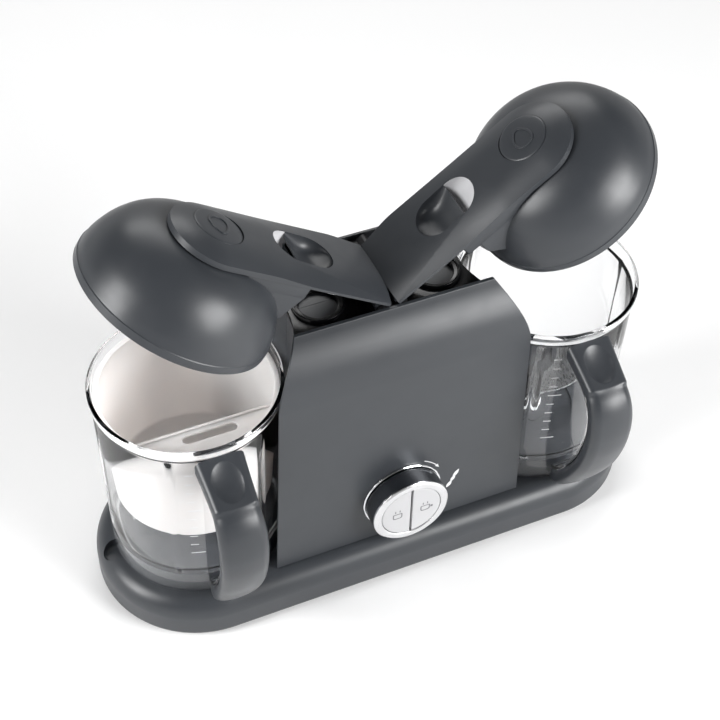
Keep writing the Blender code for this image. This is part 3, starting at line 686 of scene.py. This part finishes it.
def trough(side, start, finish, round_end, deepest, turn):
    """Half of the slot's bowl, from its closed end, start, to its open edge, finish; turn is its fall and rise."""
    shape = bmesh.new()
    rows = []
    for step in range(41):
        t = step / 40
        along = start + (finish - start) * (1 - math.cos(t * math.pi / 2))
        past = max(0.0, (round_end - along) * math.copysign(1, finish - start))
        half = math.sqrt(max(SLOT_RADIUS ** 2 - past ** 2, 0))
        deep = deepest * math.sin(((along - start) / (finish - start)) ** 0.8 * math.radians(turn))
        row = []
        for column in range(33):
            share = math.sin((-1 + 2 * column / 32) * math.pi / 2)
            spot = (along, half * share)
            drop = deep * (1 - abs(share) ** 4.5) ** 0.5
            row.append(shape.verts.new((side * spot[0], spot[1], strap_height(*spot) - 0.35 - drop)))
        rows.append(row)
    quads(shape, rows)
    bmesh.ops.remove_doubles(shape, verts=shape.verts, dist=0.002)
    bmesh.ops.recalc_face_normals(shape, faces=shape.faces)
    if sum(face.normal.z for face in shape.faces) < 0:
        bmesh.ops.reverse_faces(shape, faces=shape.faces)
    bmesh.ops.solidify(shape, geom=shape.faces[:], thickness=0.8)
    return shape


CREASE_START = Vector((66.0, -SLOT_RADIUS - 0.6))
CREASE_END = Vector((2.0, -STRAP_FRONT + 0.8))


def crease_out():
    """The direction across the crease line, towards the front."""
    way = (CREASE_END - CREASE_START).normalized()
    out = Vector((-way.y, way.x))
    return out if out.y < 0 else -out


def strap_edge(along, across):
    """The height of the strap's rim: it sinks at the front corner by the hinge."""
    open_end = smoothstep(along / 90)
    front = 7.6 + 1.6 * open_end
    rear = 10.4 - 0.9 * open_end
    share = min(1.0, max(0.0, (across + STRAP_FRONT) / (STRAP_FRONT + STRAP_REAR)))
    return front + (rear - front) * smoothstep(share)


def strap_height(along, across):
    """The strap's crowned top, folded down in front of the crease."""
    middle = STRAP_TOP + (STRAP_CROWN - STRAP_TOP) * smoothstep((along - 20) / 100)
    away = math.hypot(max(0.0, along - STRAP_END_U), across - STRAP_MIDDLE)
    bow = min(1.0, away / STRAP_END_RADIUS)
    edge = strap_edge(along, across)
    height = edge + (middle - edge) * (1 - bow ** 2.6)
    ahead = (Vector((along, across)) - CREASE_START).dot(crease_out())
    if ahead > 0:
        height -= 0.12 * ahead * smoothstep((92 - along) / 40)
    return max(height, STRAP_BOTTOM + 0.9)


def strap_plate(side):
    """The strap's body: a crowned top on a flat underside, with a round outer end."""
    shape = bmesh.new()
    rows = []
    stations = [-0.2 + (STRAP_END_U + 0.2) * step / 60 for step in range(61)]
    stations += [STRAP_END_U + STRAP_END_RADIUS * math.sin(math.radians(angle)) for angle in range(3, 88, 3)]
    stations.append(STRAP_END_U + STRAP_END_RADIUS * 0.9995)
    for along in stations:
        half = math.sqrt(STRAP_END_RADIUS ** 2 - max(0.0, along - STRAP_END_U) ** 2)
        low = STRAP_MIDDLE - half
        high = STRAP_MIDDLE + half - 4.0 * (1 - smoothstep(along / 26))
        row = []
        for column in range(41):
            share = (1 - math.cos(math.pi * column / 40)) / 2
            row.append(shape.verts.new((along, low + (high - low) * share, 0)))
        rows.append(row)
    for first, second in zip(rows, rows[1:]):
        for column in range(40):
            shape.faces.new((first[column], second[column], second[column + 1], first[column + 1]))
    bmesh.ops.bisect_plane(shape, geom=shape.verts[:] + shape.edges[:] + shape.faces[:], dist=0.0001,
                           plane_co=(*CREASE_START, 0), plane_no=(*crease_out(), 0))
    grown = bmesh.ops.extrude_face_region(shape, geom=shape.faces[:])
    lower = {item for item in grown["geom"] if isinstance(item, bmesh.types.BMVert)}
    rim = []
    for vertex in shape.verts:
        vertex.co.z = STRAP_BOTTOM if vertex in lower else strap_height(vertex.co.x, vertex.co.y)
    for edge in shape.edges:
        on_top = not any(vertex in lower for vertex in edge.verts)
        walls = [face for face in edge.link_faces if any(vertex in lower for vertex in face.verts)]
        if on_top and len(walls) == 1:
            rim.append(edge)
    bmesh.ops.bevel(shape, geom=rim, offset=0.6, segments=3, affect="EDGES", profile=0.5, clamp_overlap=True)
    bmesh.ops.remove_doubles(shape, verts=shape.verts, dist=0.001)
    return moved(shape, Matrix.Diagonal((side, 1, 1, 1)))


def make_strap(name, side, place):
    """The arm over the dome: a crowned plate with the finger slot, and the hinge barrel under its root."""
    slot = stadium(SLOT_RADIUS, (SLOT_FAR - SLOT_NEAR) / 2, (SLOT_NEAR + SLOT_FAR) / 2, steps=32)
    through = plate([sided(slot, side)], 0, 30, 0.05)
    recess = spun([(0, 30), (BADGE_RADIUS + 0.3, 30), (BADGE_RADIUS + 0.3, STRAP_CROWN - 1.6),
                   (0, STRAP_CROWN - 1.6)], 96)
    recess = moved(recess, Matrix.Translation((side * BADGE_U, 0, 0)))
    top = carved(strap_plate(side), through, recess)
    arm = side_block(side, (14, -19, -1.0), (SLOT_FLOOR_END - 0.6, 19, STRAP_BOTTOM + 0.3), 0.8)
    hollow = side_block(side, (SLOT_NEAR - SLOT_RADIUS + 1, -15.5, 0.4), (80, 15.5, 20), 0.2)
    arm = carved(arm, hollow)
    tube = spun(rounded([(1.9, -26), (4.0, -26, 0.5), (4.0, BARREL_REAR, 0.5), (1.9, BARREL_REAR)], closed=True), 40,
                closed=True)
    tube = moved(tube, TO_THE_BACK)
    web = side_block(side, (-2.3, -25.6, 1.2), (4.2, STRAP_REAR - 4.6, STRAP_BOTTOM + 0.6), 0.4)
    web_front = side_block(side, (2.2, -25.6, -0.5), (5.5, STRAP_REAR - 4.6, STRAP_BOTTOM + 0.6), 0.4)
    scoop = trough(side, SLOT_NEAR - SLOT_RADIUS, SCOOP_END, SLOT_NEAR, 8.6, 157)
    whole = joined(top, scoop, arm, tube, web, web_front)
    settle(f"{name}_lid_strap_looks", whole, place, GREY, f"{name}_lid", f"{name}_lid_strap", sharp=28,
           slot="grey_plastic")
    cup = trough(side, SLOT_FAR + SLOT_RADIUS - 0.3, SLOT_FLOOR_END - 1.5, SLOT_FAR - 0.3, 11.6, 90)
    settle(f"{name}_slot_window", cup, place, WHITE, f"{name}_lid", sharp=60, slot="white_plastic")


def make_badge(name, side, place):
    """A plain disc set in the strap's round end, with a drop-shaped mark standing a little proud."""
    axis = place @ shift(side * BADGE_U)
    low = STRAP_CROWN - 1.5
    high = STRAP_CROWN
    face = [(0, high)] + [(radius, high - 0.9 * (radius / BADGE_RADIUS) ** 2.6) for radius in (3, 6, 9, 11, 13, 14.6)]
    face += [(BADGE_RADIUS - 0.3, high - 0.9), (BADGE_RADIUS, high - 1.2), (BADGE_RADIUS, low), (0, low)]
    settle(f"{name}_lid_badge_looks", spun(face, 96), axis, GREY, f"{name}_lid", f"{name}_lid_badge",
           slot="grey_plastic")
    outer = [(6.4 * math.cos(a) * (1 - 0.32 * math.sin(a)), 8.2 * math.sin(a)) for a in
             (math.tau * step / 48 for step in range(48))]
    inner = [(0.8 * across, 0.82 * up - 0.3) for across, up in outer]
    mark = plate([outer, inner], high - 0.6, high + 0.55, 0.25)
    mark = moved(mark, Matrix.Rotation(math.radians(-90 * side + 90), 4, "Z"))
    settle(f"{name}_badge_mark", mark, axis, GREY, f"{name}_lid", sharp=30, slot="grey_plastic")


def make_lid(name, side, neck_start):
    place = lid_place(name)
    make_dome(name, side, place, neck_start)
    make_liner(name, side, place)
    make_strap(name, side, place)
    make_badge(name, side, place)
    plug = rounded([(0, -4.0), (14.5, -4.0, 1.0), (14.5, -1.3, 0.5), (0, -1.3)])
    at_well = place @ shift(side * (WELL_X - HINGE_X), WELL_Y)
    settle(f"{name}_tank_seal_looks", spun(plug, 96), at_well, SILICONE, f"{name}_lid", f"{name}_tank_seal",
           slot="silicone")


# ------------------------------------------------------------------ jugs


WALL_FOOT = 58.7
WALL_HEAD = 60.2
WALL_HEAD_Z = 179.0


def wall_radius(height):
    """The jug's outer radius: it widens a little towards the rim."""
    return WALL_FOOT + (WALL_HEAD - WALL_FOOT) * (height - JUG_BOTTOM) / (WALL_HEAD_Z - JUG_BOTTOM)


def rib_height(angle):
    """How far the outer ribs stand out at an angle: one 4 mm rib every sixty degrees."""
    off = abs((angle + 30) % 60 - 30)
    return 0.55 * smoothstep((2.6 - off) / 1.0)


def make_jug(name, place):
    """A clear jug: thick rim band, ribbed wall, a floor above an open skirt."""
    outer = [(RIM_RADIUS - 2.6, JUG_TOP, 0), (RIM_RADIUS - 2.2, JUG_TOP, 0), (RIM_RADIUS - 0.8, JUG_TOP - 0.1, 0),
             (RIM_RADIUS - 0.1, JUG_TOP - 0.8, 0), (RIM_RADIUS, JUG_TOP - 1.6, 0), (RIM_RADIUS, 180.6, 0),
             (RIM_RADIUS - 0.3, 179.9, 0), (WALL_HEAD + 0.3, 179.3, 0), (WALL_HEAD, WALL_HEAD_Z, 0),
             (wall_radius(175), 175, 0), (wall_radius(173.5), 173.5, 1)]
    outer += [(wall_radius(z), z, 1) for z in (160, 140, 120, 100, 80, 64)]
    outer += [(wall_radius(62.5), 62.5, 0), (wall_radius(50), 50, 0), (wall_radius(JUG_BOTTOM + 1), JUG_BOTTOM + 1, 0),
              (WALL_FOOT - 0.4, JUG_BOTTOM + 0.2, 0), (WALL_FOOT - 1, JUG_BOTTOM, 0),
              (WALL_FOOT - 1.6, JUG_BOTTOM + 0.2, 0), (WALL_FOOT - 2, JUG_BOTTOM + 1, 0),
              (56.5, 55.4, 0), (40, 55.4, 0), (11.0, 55.4, 0), (11.0, 57.7, 0), (30, 57.7, 0), (53.0, 57.7, 0),
              (55.4, 58.4, 0), (56.4, 60.4, 0), (56.65, 63, 0), (57.0, 100, 0),
              (57.4, 140, 0), (57.7, 174.2, 0), (58.0, 175.2, 0), (59.0, 176.0, 0), (59.3, 176.8, 0),
              (RIM_RADIUS - 2.7, JUG_TOP - 0.5, 0)]
    count = 360
    rings = []
    for radius, height, ribbed in outer:
        ring = []
        for step in range(count):
            angle = 360 * step / count
            reach = radius + (rib_height(angle) if ribbed else 0)
            ring.append((reach * math.cos(math.radians(angle)), reach * math.sin(math.radians(angle)), height))
        rings.append(ring)
    settle(f"{name}_jug_looks", stacked(rings, caps=False, loop=True), place, CLEAR, f"{name}_jug_body",
           f"{name}_jug", sharp=50, slot="clear_plastic")


def make_marks(name, place):
    """Graduation ticks on the jug's wall beside the handle: a long one every fifth."""
    shape = bmesh.new()
    for step in range(10):
        height = 82 + 9.0 * step
        sweep = 9 if step % 5 == 0 else 5
        radius = wall_radius(height) + 0.05
        levels = []
        for lift, out in ((0, 0), (0, 0.12), (0.7, 0.12), (0.7, 0)):
            run = arc(0, 0, radius + out, -111, -111 + sweep, 6)
            levels.append([shape.verts.new((across, along, height + lift)) for across, along in run])
        quads(shape, levels + levels[:1])
        shape.faces.new([level[0] for level in levels])
        shape.faces.new([level[-1] for level in reversed(levels)])
    settle(f"{name}_jug_marks", shape, place, PRINT, f"{name}_jug_body")


HANDLE_OUTER = [(-60.9, 178.3), (-67.1, 175.4), (-73.2, 172.6), (-79.4, 169.8), (-85.6, 166.9), (-91.7, 164.1),
                (-98.6, 158.4), (-103.8, 150.5), (-106.8, 141), (-107.9, 128), (-106.3, 111), (-100.5, 90),
                (-90, 68), (-78, 49.5), (-70, 41.5), (-62.6, 38.6)]
HANDLE_INNER = [(-60.9, 165), (-65.5, 163), (-70.5, 160.8), (-75.5, 158.6), (-80, 156.3), (-84, 153.7),
                (-87.6, 150), (-90.6, 145.5), (-92.9, 138.5), (-94, 128.5), (-92.5, 112.5), (-88, 94),
                (-79.8, 75), (-70.5, 59.5), (-66, 55), (-61.6, 52)]
HANDLE_HALF = [15.8, 15.5, 15.2, 14.9, 14.7, 14.5, 14.8, 15.2, 15.5, 15.6, 15.5, 15.4, 15.2, 14.4, 13.4, 12.4]
HANDLE_CREST = 5                  # the outer point where the flat plate ends in a crest
DIMPLE_CENTRE = Vector((-76.4, 171.2))
DIMPLE_LENGTH = 13.4
DIMPLE_WIDTH = 9.8
DIMPLE_DEPTH = 2.8


def grip_section(wide, tall, corner, bulge):
    """A rounded rectangle, (across, rise) from its middle; its outer side is flat or crowned by the bulge."""
    flat = wide - corner
    points = [(flat * (2 * step / 36 - 1), tall) for step in range(37)]
    points += arc(flat, tall - corner, corner, 80, 0, 8)
    points += arc(flat, corner - tall, corner, 0, -90, 8)
    points += [(flat * (1 - 2 * step / 12), -tall) for step in range(1, 12)]
    points += arc(-flat, corner - tall, corner, -90, -180, 8)
    points += arc(-flat, tall - corner, corner, 180, 100, 8)
    return [(across, rise - bulge * (across / wide) ** 2 * max(rise / tall, 0.0)) for across, rise in points]


def make_handle(name, place):
    """The grip: a flat upper plate with a thumb dimple, a crest, and a crowned band down to the foot."""
    per = 14
    outer = flowing(HANDLE_OUTER[:HANDLE_CREST + 1], per)[:-1] + flowing(HANDLE_OUTER[HANDLE_CREST:], per)
    inner = flowing(HANDLE_INNER, per)
    half = [width for _, width in flowing([(index, width) for index, width in enumerate(HANDLE_HALF)], per)]
    rings = []
    for index, (out, into, wide) in enumerate(zip(outer, inner, half)):
        out, into = Vector(out), Vector(into)
        centre = (out + into) / 2
        outward = (out - into).normalized()
        tall = (out - into).length / 2
        grip = smoothstep((index / per - HANDLE_CREST + 0.15) / 0.5)
        ring = []
        for across, rise in grip_section(wide, tall, 4.0 + 1.6 * grip, 0.5 + 2.0 * grip):
            point = centre + outward * rise
            if rise > tall * 0.5:
                gap = math.hypot((point - DIMPLE_CENTRE).length / DIMPLE_LENGTH, across / DIMPLE_WIDTH)
                point -= outward * DIMPLE_DEPTH * max(0.0, 1 - gap ** 2) ** 0.8
            ring.append((across, point.x, point.y))
        rings.append(ring)
    settle(f"{name}_jug_handle_looks", stacked(rings), place, GREY, f"{name}_jug_body", f"{name}_jug_handle",
           sharp=50, slot="grey_plastic")
    make_handle_frame(name, place, inner[6:-4])


def make_handle_frame(name, place, path):
    """The jug's own clear bow that the grip is fixed to, along the grip's inner side."""
    section = rounded([(-12.5, 0.2, 0.8), (12.5, 0.2, 0.8), (12.5, 2.8, 0.8), (-12.5, 2.8, 0.8)], closed=True, steps=3)
    rings = []
    for index in range(len(path)):
        here = Vector(path[index])
        before = Vector(path[max(index - 1, 0)])
        after = Vector(path[min(index + 1, len(path) - 1)])
        way = (after - before).normalized()
        inward = Vector((-way.y, way.x))
        if inward.x < 0 and abs(inward.x) > 0.3:
            inward = -inward
        rings.append([(across, *(here + inward * deep)) for across, deep in section])
    settle(f"{name}_handle_bow", stacked(rings), place, CLEAR, f"{name}_jug_body", sharp=50, slot="clear_plastic")


def make_blade(name, place):
    """The spindle with its finger grip, the seal round it and the two-winged blade."""
    profile = rounded([(0, 84), (3.2, 83.6, 1.5), (5.0, 79, 1.5), (5.6, 66, 1), (10, 62.5, 1), (10, 59.8, 0.4),
                       (7.5, 59.6, 0.2), (7.5, 55.0), (0, 55.0)])
    settle(f"{name}_blade_hub_looks", spun(profile, 72), place, BLACK, f"{name}_blade_body", f"{name}_blade_hub",
           slot="black_plastic")
    wing = flowing([(8.5, -7), (24, -8.5), (40, -5), (45, 3), (34, 5.5), (20, 6), (8.5, 8)], 6)
    outline = wing + [(-across, -along) for across, along in wing]
    shape = plate([outline, arc(0, 0, 5.9, 0, 352, 44)], 66.4, 67.8, 0.25)
    settle(f"{name}_blade_looks", shape, place, STEEL, f"{name}_blade_body", f"{name}_blade", sharp=25, even=True,
           slot="steel")
    ring = rounded([(7.9, 59.0, 0.3), (10.0, 59.0, 0.5), (10.7, 58.2, 0.3), (10.7, 54.8, 0.3), (7.9, 54.8, 0.3)],
                   closed=True, steps=3)
    settle(f"{name}_blade_seal_looks", spun(ring, 72, closed=True), place, SILICONE, f"{name}_jug_body",
           f"{name}_blade_seal", slot="silicone")


def make_basket(place):
    """The steaming basket: a tapered cup with holes in its floor and a slotted shelf across its front."""
    wall = rounded([(0, 94.0), (50.4, 94.0, 2.2), (55.3, 178.4, 0.3), (59.0, 178.4, 0.6), (59.0, 176.8, 0.5),
                    (56.9, 176.8, 0.3), (52.2, 92.0, 3.0), (0, 92.0)])
    cup = spun(wall, 144)
    holes = []
    for count, radius in ((8, 36.0), (6, 20.0)):
        for turn in range(count):
            angle = math.tau * (turn + 0.5) / count
            hole = spun([(0, 100), (3.0, 100), (3.0, 80), (0, 80)], 20)
            holes.append(moved(hole, Matrix.Translation((radius * math.cos(angle), radius * math.sin(angle), 0))))
    cup = carved(cup, *holes)
    chord = 21.0
    shelf_radius = 54.6
    sweep = math.degrees(math.asin(chord / shelf_radius))
    segment = arc(0, 0, shelf_radius, 180 + sweep, 360 - sweep, 48)
    slot = stadium(3.2, 15.0, 5.0, -chord - 7.5, 10)
    shelf = plate([segment, slot], 160.0, 162.0, 0.5)
    edge = plate([[(-50.3, -22.4), (50.3, -22.4), (50.6, -20.6), (-50.6, -20.6)]], 158.0, 163.4, 0.6)
    settle("left_steam_basket_looks", joined(cup, shelf, edge), place, BASKET, "left_basket_body",
           "left_steam_basket", sharp=30, slot="milky_plastic")


# ------------------------------------------------------------------ knob and small pieces


def knob_place():
    """The knob's frame: z out of the panel along the joint's axis, y up the panel."""
    joint = JOINTS["knob_turn"]
    out = -Vector(joint["axis"]).normalized()
    across = Vector((1, 0, 0))
    up = out.cross(across)
    turn = Matrix((across, up, out)).transposed().to_4x4()
    return Matrix.Translation(joint["pos_m"]) @ turn


KNOB_RADIUS = 27.5
BUTTON_RADIUS = 21.5
BUTTON_GAP = 0.75                # half the gap between the two buttons
BUTTON_HEIGHTS = (9.5, 15.9)     # the low height leaves room for the drum when a button is pressed
ICON_HEIGHTS = (15.85, 16.02)
PANEL_HEIGHTS = (0.02, 0.14)


def make_knob(place):
    """The knob in its bezel: a drum, a bright ring round its face and the two half-round buttons."""
    bezel = rounded([(27.0, 1.7, 0.3), (28.3, 1.7, 0.5), (28.9, 1.1, 0.3), (28.9, 0.3), (27.0, 0.3)],
                    closed=True, steps=5)
    settle("knob_bezel_looks", spun(bezel, closed=True), place, CHROME, "base", "knob_bezel", slot="chrome")
    drum = rounded([(0, 7.2), (22.2, 7.2), (22.2, 14.9), (KNOB_RADIUS - 0.4, 14.9), (KNOB_RADIUS, 14.4, 0.3),
                    (KNOB_RADIUS, 3.0, 0.4), (KNOB_RADIUS - 0.6, 2.6), (3.6, 2.6), (3.6, -5), (0, -5)])
    settle("knob_looks", spun(drum), place, DRUM, "knob_body", "knob", slot="gloss_black")
    face = rounded([(21.8, 16.0, 0.3), (22.6, 16.5, 0.4), (26.0, 16.5, 1.2), (KNOB_RADIUS, 15.5, 0.5),
                    (KNOB_RADIUS, 15.0), (21.8, 15.0)], closed=True, steps=5)
    settle("knob_trim_ring_looks", spun(face, closed=True), place, SILVER, "knob_body", "knob_trim_ring",
           slot="chrome")
    split = math.degrees(math.acos(BUTTON_GAP / BUTTON_RADIUS))
    for name, side in SIDES.items():
        outline = sided(arc(0, 0, BUTTON_RADIUS, -split, split, 48), side)
        settle(f"{name}_button_looks", plate([outline], *BUTTON_HEIGHTS, 0.45), place, BUTTON, f"{name}_button_body",
               f"{name}_button", sharp=30, even=True, slot="white_plastic")
        make_icon(name, side, place)


def make_icon(name, side, place):
    """A small outlined bowl with two steam ticks, printed on the button; the right one has a handle."""
    bowl = rounded([(-2.6, 1.6, 0.5), (2.6, 1.6, 0.5), (2.6, -2.2, 1.4), (-2.6, -2.2, 1.4)], closed=True, steps=4)
    inner = [(0.78 * across, 0.76 * up - 0.05) for across, up in bowl]
    outlines = [[bowl, inner]]
    for offset in (-1.2, 1.2):
        outlines.append([[(offset - 0.25, 2.5), (offset + 0.25, 2.5), (offset + 0.25, 4.0), (offset - 0.25, 4.0)]])
    if side > 0:
        outlines.append([[(2.9, -0.9), (4.2, -0.9), (4.2, 0.5), (2.9, 0.5)]])
    shapes = [plate(outline, *ICON_HEIGHTS, 0.04) for outline in outlines]
    icon = moved(joined(*shapes), Matrix.Translation((side * 10.2, -0.8, 0)) @ Matrix.Diagonal((1.35, 1.35, 1, 1)))
    settle(f"{name}_button_icon", icon, place, DARK_PRINT, f"{name}_button_body")


def make_panel_print(place):
    """Beside the knob: an arrow that shows which way it turns, and a mark of three leaves."""
    radius = 31.6
    band = arc(0, 0, radius + 0.32, 60, 37, 12) + arc(0, 0, radius - 0.32, 37, 60, 12)
    tip = math.radians(31)
    foot = math.radians(38)
    head = [((radius + 1.3) * math.cos(foot), (radius + 1.3) * math.sin(foot)),
            (radius * math.cos(tip), radius * math.sin(tip)),
            ((radius - 1.3) * math.cos(foot), (radius - 1.3) * math.sin(foot))]
    prints = [band, head]
    for middle, half in ((Vector((36.0, -6.2)), 3.6), (Vector((38.6, -1.2)), 3.0), (Vector((40.6, 3.4)), 4.2)):
        leaf = []
        for turn in (58, 238):
            way = Vector((math.cos(math.radians(turn)), math.sin(math.radians(turn))))
            out = Vector((way.y, -way.x))
            for step in range(12):
                share = -1 + 2 * step / 12
                leaf.append(tuple(middle + way * half * share + out * 1.5 * (1 - share * share)))
        prints.append(leaf)
    settle("panel_marks", joined(*(plate([outline], *PANEL_HEIGHTS, 0.03) for outline in prints)), place, PRINT, "base")


def make_bracket():
    """The hinge bar on the deck: an upright at each end that holds both lids' pins."""
    foot = DECK_TOP + 0.3
    outline = [(-11.6, foot), (11.6, foot)] + arc(HINGE_X, HINGE_Z, 3.5, 0, 115, 14) + [(2.2, HINGE_Z + 0.9)]
    outline += [(-across, up) for across, up in reversed(outline[2:])]
    shapes = [block((-2.0, -28, foot), (2.0, 36.0, HINGE_Z - 0.7), 0.5)]
    for low, high in ((-29.5, -26.4), (28.6, 36.6)):
        ear = plate([outline], -high, -low, 0.5)
        shapes.append(moved(ear, UPRIGHT))
    settle("hinge_bracket_looks", joined(*shapes), CENTRE, BLACK, "base", "hinge_bracket", sharp=30, even=True,
           slot="gloss_black")


def make_gland():
    """The cord's gland: a collar on the housing and a ribbed neck."""
    low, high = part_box("cord_gland")
    across = (low.x + high.x) / 2
    up = (low.z + high.z) / 2
    neck = [(3.4, high.y / MM), (4.9, high.y / MM)]
    start = high.y / MM - 1.2
    for rib in range(4):
        top = start - 2.1 * rib
        neck += [(4.95 + 0.1 * rib, top), (4.95 + 0.1 * rib, top - 1.1), (4.3, top - 1.2), (4.3, top - 1.9)]
    foot = MIDDLE_Y / MM + BLOCK_FRONT
    neck += [(5.5, foot + 3.2), (8.3, foot + 3.0), (8.5, foot + 2.6), (8.5, foot + 0.6), (5.5, foot + 0.6),
             (5.5, low.y / MM), (3.4, low.y / MM)]
    place = Matrix.Translation((across, 0, up)) @ TO_THE_BACK
    settle("cord_gland_looks", spun(neck, 72, closed=True), place, RUBBER, "base", "cord_gland", slot="rubber")


CAD_LOOKS = {"base_cover": BLACK, "selector_switch": BLACK, "control_board": BOARD, "motor_bracket": STEEL,
             "motor": STEEL, "motor_shaft": STEEL}
SIDE_LOOKS = {"hinge_pin": STEEL, "drive_hub": BLACK, "drive_belt": BELT, "drive_bearing": BRONZE,
              "water_tank": STEEL, "heater": CAST}
CAD_LOOKS.update({f"{label}_{part}": look for label in SIDES for part, look in SIDE_LOOKS.items()})


def dress_cad():
    """Materials for the CAD nodes that stay as they are, and a small edge rounding for the base cover."""
    for name, look in CAD_LOOKS.items():
        node = frame["nodes"][name]
        if not node.material_slots:
            node.data.materials.append(look)
        for slot in node.material_slots:
            slot.material = look
    cover = frame["nodes"]["base_cover"]
    cover.modifiers.new("Weld", "WELD").merge_threshold = 0.00001
    bevel = cover.modifiers.new("Edge", "BEVEL")
    bevel.width = 0.4 * MM
    bevel.segments = 3
    bevel.limit_method = "ANGLE"
    bevel.angle_limit = math.radians(35)


# ------------------------------------------------------------------ stage, light and camera


FLOOR_HALF = 3000
LAMP_TARGET = Vector((0, 0, 0.17))
LAMP_AWAY = 1.7
CAMERA_PLACE = (-0.29208, -0.59156, 0.88498)


def faded(tree, height, start, stop, low, high):
    """A smooth change from low to high between two heights of the view direction."""
    ramp = added(tree, "MapRange", Value=height, From_Min=start, From_Max=stop, To_Min=low, To_Max=high)
    ramp.interpolation_type = "SMOOTHSTEP"
    return ramp.outputs["Result"]


def make_stage():
    """A pale floor, and a dim studio with a pale wall all round at the horizon."""
    made, tree, shader = surface("pale_floor", (0.96, 0.96, 0.96), 0.8)
    tint(tree, shader, noise(tree, 3), (0.955, 0.955, 0.955), (0.965, 0.965, 0.965))
    shape = bmesh.new()
    bmesh.ops.create_grid(shape, x_segments=4, y_segments=4, size=FLOOR_HALF)
    floor = piece_from("floor", shape, Matrix.Identity(4), made)
    world = bpy.data.worlds.new("studio")
    world.use_nodes = True
    tree = world.node_tree
    height = added(tree, "SeparateXYZ", Vector=added(tree, "TexCoord").outputs["Generated"]).outputs["Z"]
    room = faded(tree, height, 0.1, 0.75, 1.18, 0.62)
    wall = faded(tree, height, 0.12, 0.42, 12.0, 0.0)
    both = added(tree, "Math")
    both.operation = "ADD"
    tree.links.new(room, both.inputs[0])
    tree.links.new(wall, both.inputs[1])
    feed(tree, tree.nodes["Background"], Strength=both.outputs["Value"])
    bpy.context.scene.world = world
    bpy.context.scene.view_settings.view_transform = "Standard"


def softbox(name, azimuth, elevation, width, height, power):
    """A rectangular lamp aimed at the object; azimuth 0 is in front and 90 to the right, in degrees."""
    turn = math.radians(azimuth)
    rise = math.radians(elevation)
    way = Vector((math.sin(turn) * math.cos(rise), -math.cos(turn) * math.cos(rise), math.sin(rise)))
    data = bpy.data.lights.new(name, "AREA")
    data.shape = "RECTANGLE"
    data.size = width
    data.size_y = height
    data.energy = power
    light = bpy.data.objects.new(name, data)
    light.location = LAMP_TARGET + way * LAMP_AWAY
    light.rotation_euler = (-way).to_track_quat("-Z", "Y").to_euler()
    light.visible_camera = False
    light.visible_transmission = False
    bpy.context.scene.collection.objects.link(light)


def make_camera():
    """The camera stands in front, to the left and above, and is rolled a little."""
    yaw = math.radians(24.97)
    pitch = math.radians(47.40)
    roll = math.radians(-2.14)
    ahead = Vector((math.sin(yaw) * math.cos(pitch), math.cos(yaw) * math.cos(pitch), -math.sin(pitch)))
    level = Vector((math.cos(yaw), -math.sin(yaw), 0))
    down = ahead.cross(level)
    right = level * math.cos(roll) + down * math.sin(roll)
    up = level * math.sin(roll) - down * math.cos(roll)
    data = bpy.data.cameras.new("camera")
    data.lens = 74.92
    data.sensor_width = 36
    data.clip_end = 20
    camera = bpy.data.objects.new("camera", data)
    turn = Matrix((right, up, -ahead)).transposed().to_4x4()
    camera.matrix_world = Matrix.Translation(CAMERA_PLACE) @ turn
    bpy.context.scene.collection.objects.link(camera)
    bpy.context.scene.camera = camera


make_base()
make_feet()
make_seats()
make_block()
make_deck()
make_lid("left", -1, 60.0)
make_lid("right", 1, 50.5)
for label, way in SIDES.items():
    at_jug = CENTRE @ shift(way * JUG_X)
    make_jug(label, at_jug)
    make_marks(label, at_jug)
    make_handle(label, at_jug)
    make_blade(label, at_jug)
make_basket(CENTRE @ shift(-JUG_X))
at_knob = knob_place()
make_knob(at_knob)
make_panel_print(at_knob)
make_gland()
make_bracket()
dress_cad()
make_stage()
softbox("front_right", 38, 24, 0.95, 0.8, 38)
softbox("left_side", -88, 28, 0.6, 0.9, 28)
softbox("behind", 165, 40, 1.2, 0.6, 10)
make_camera()
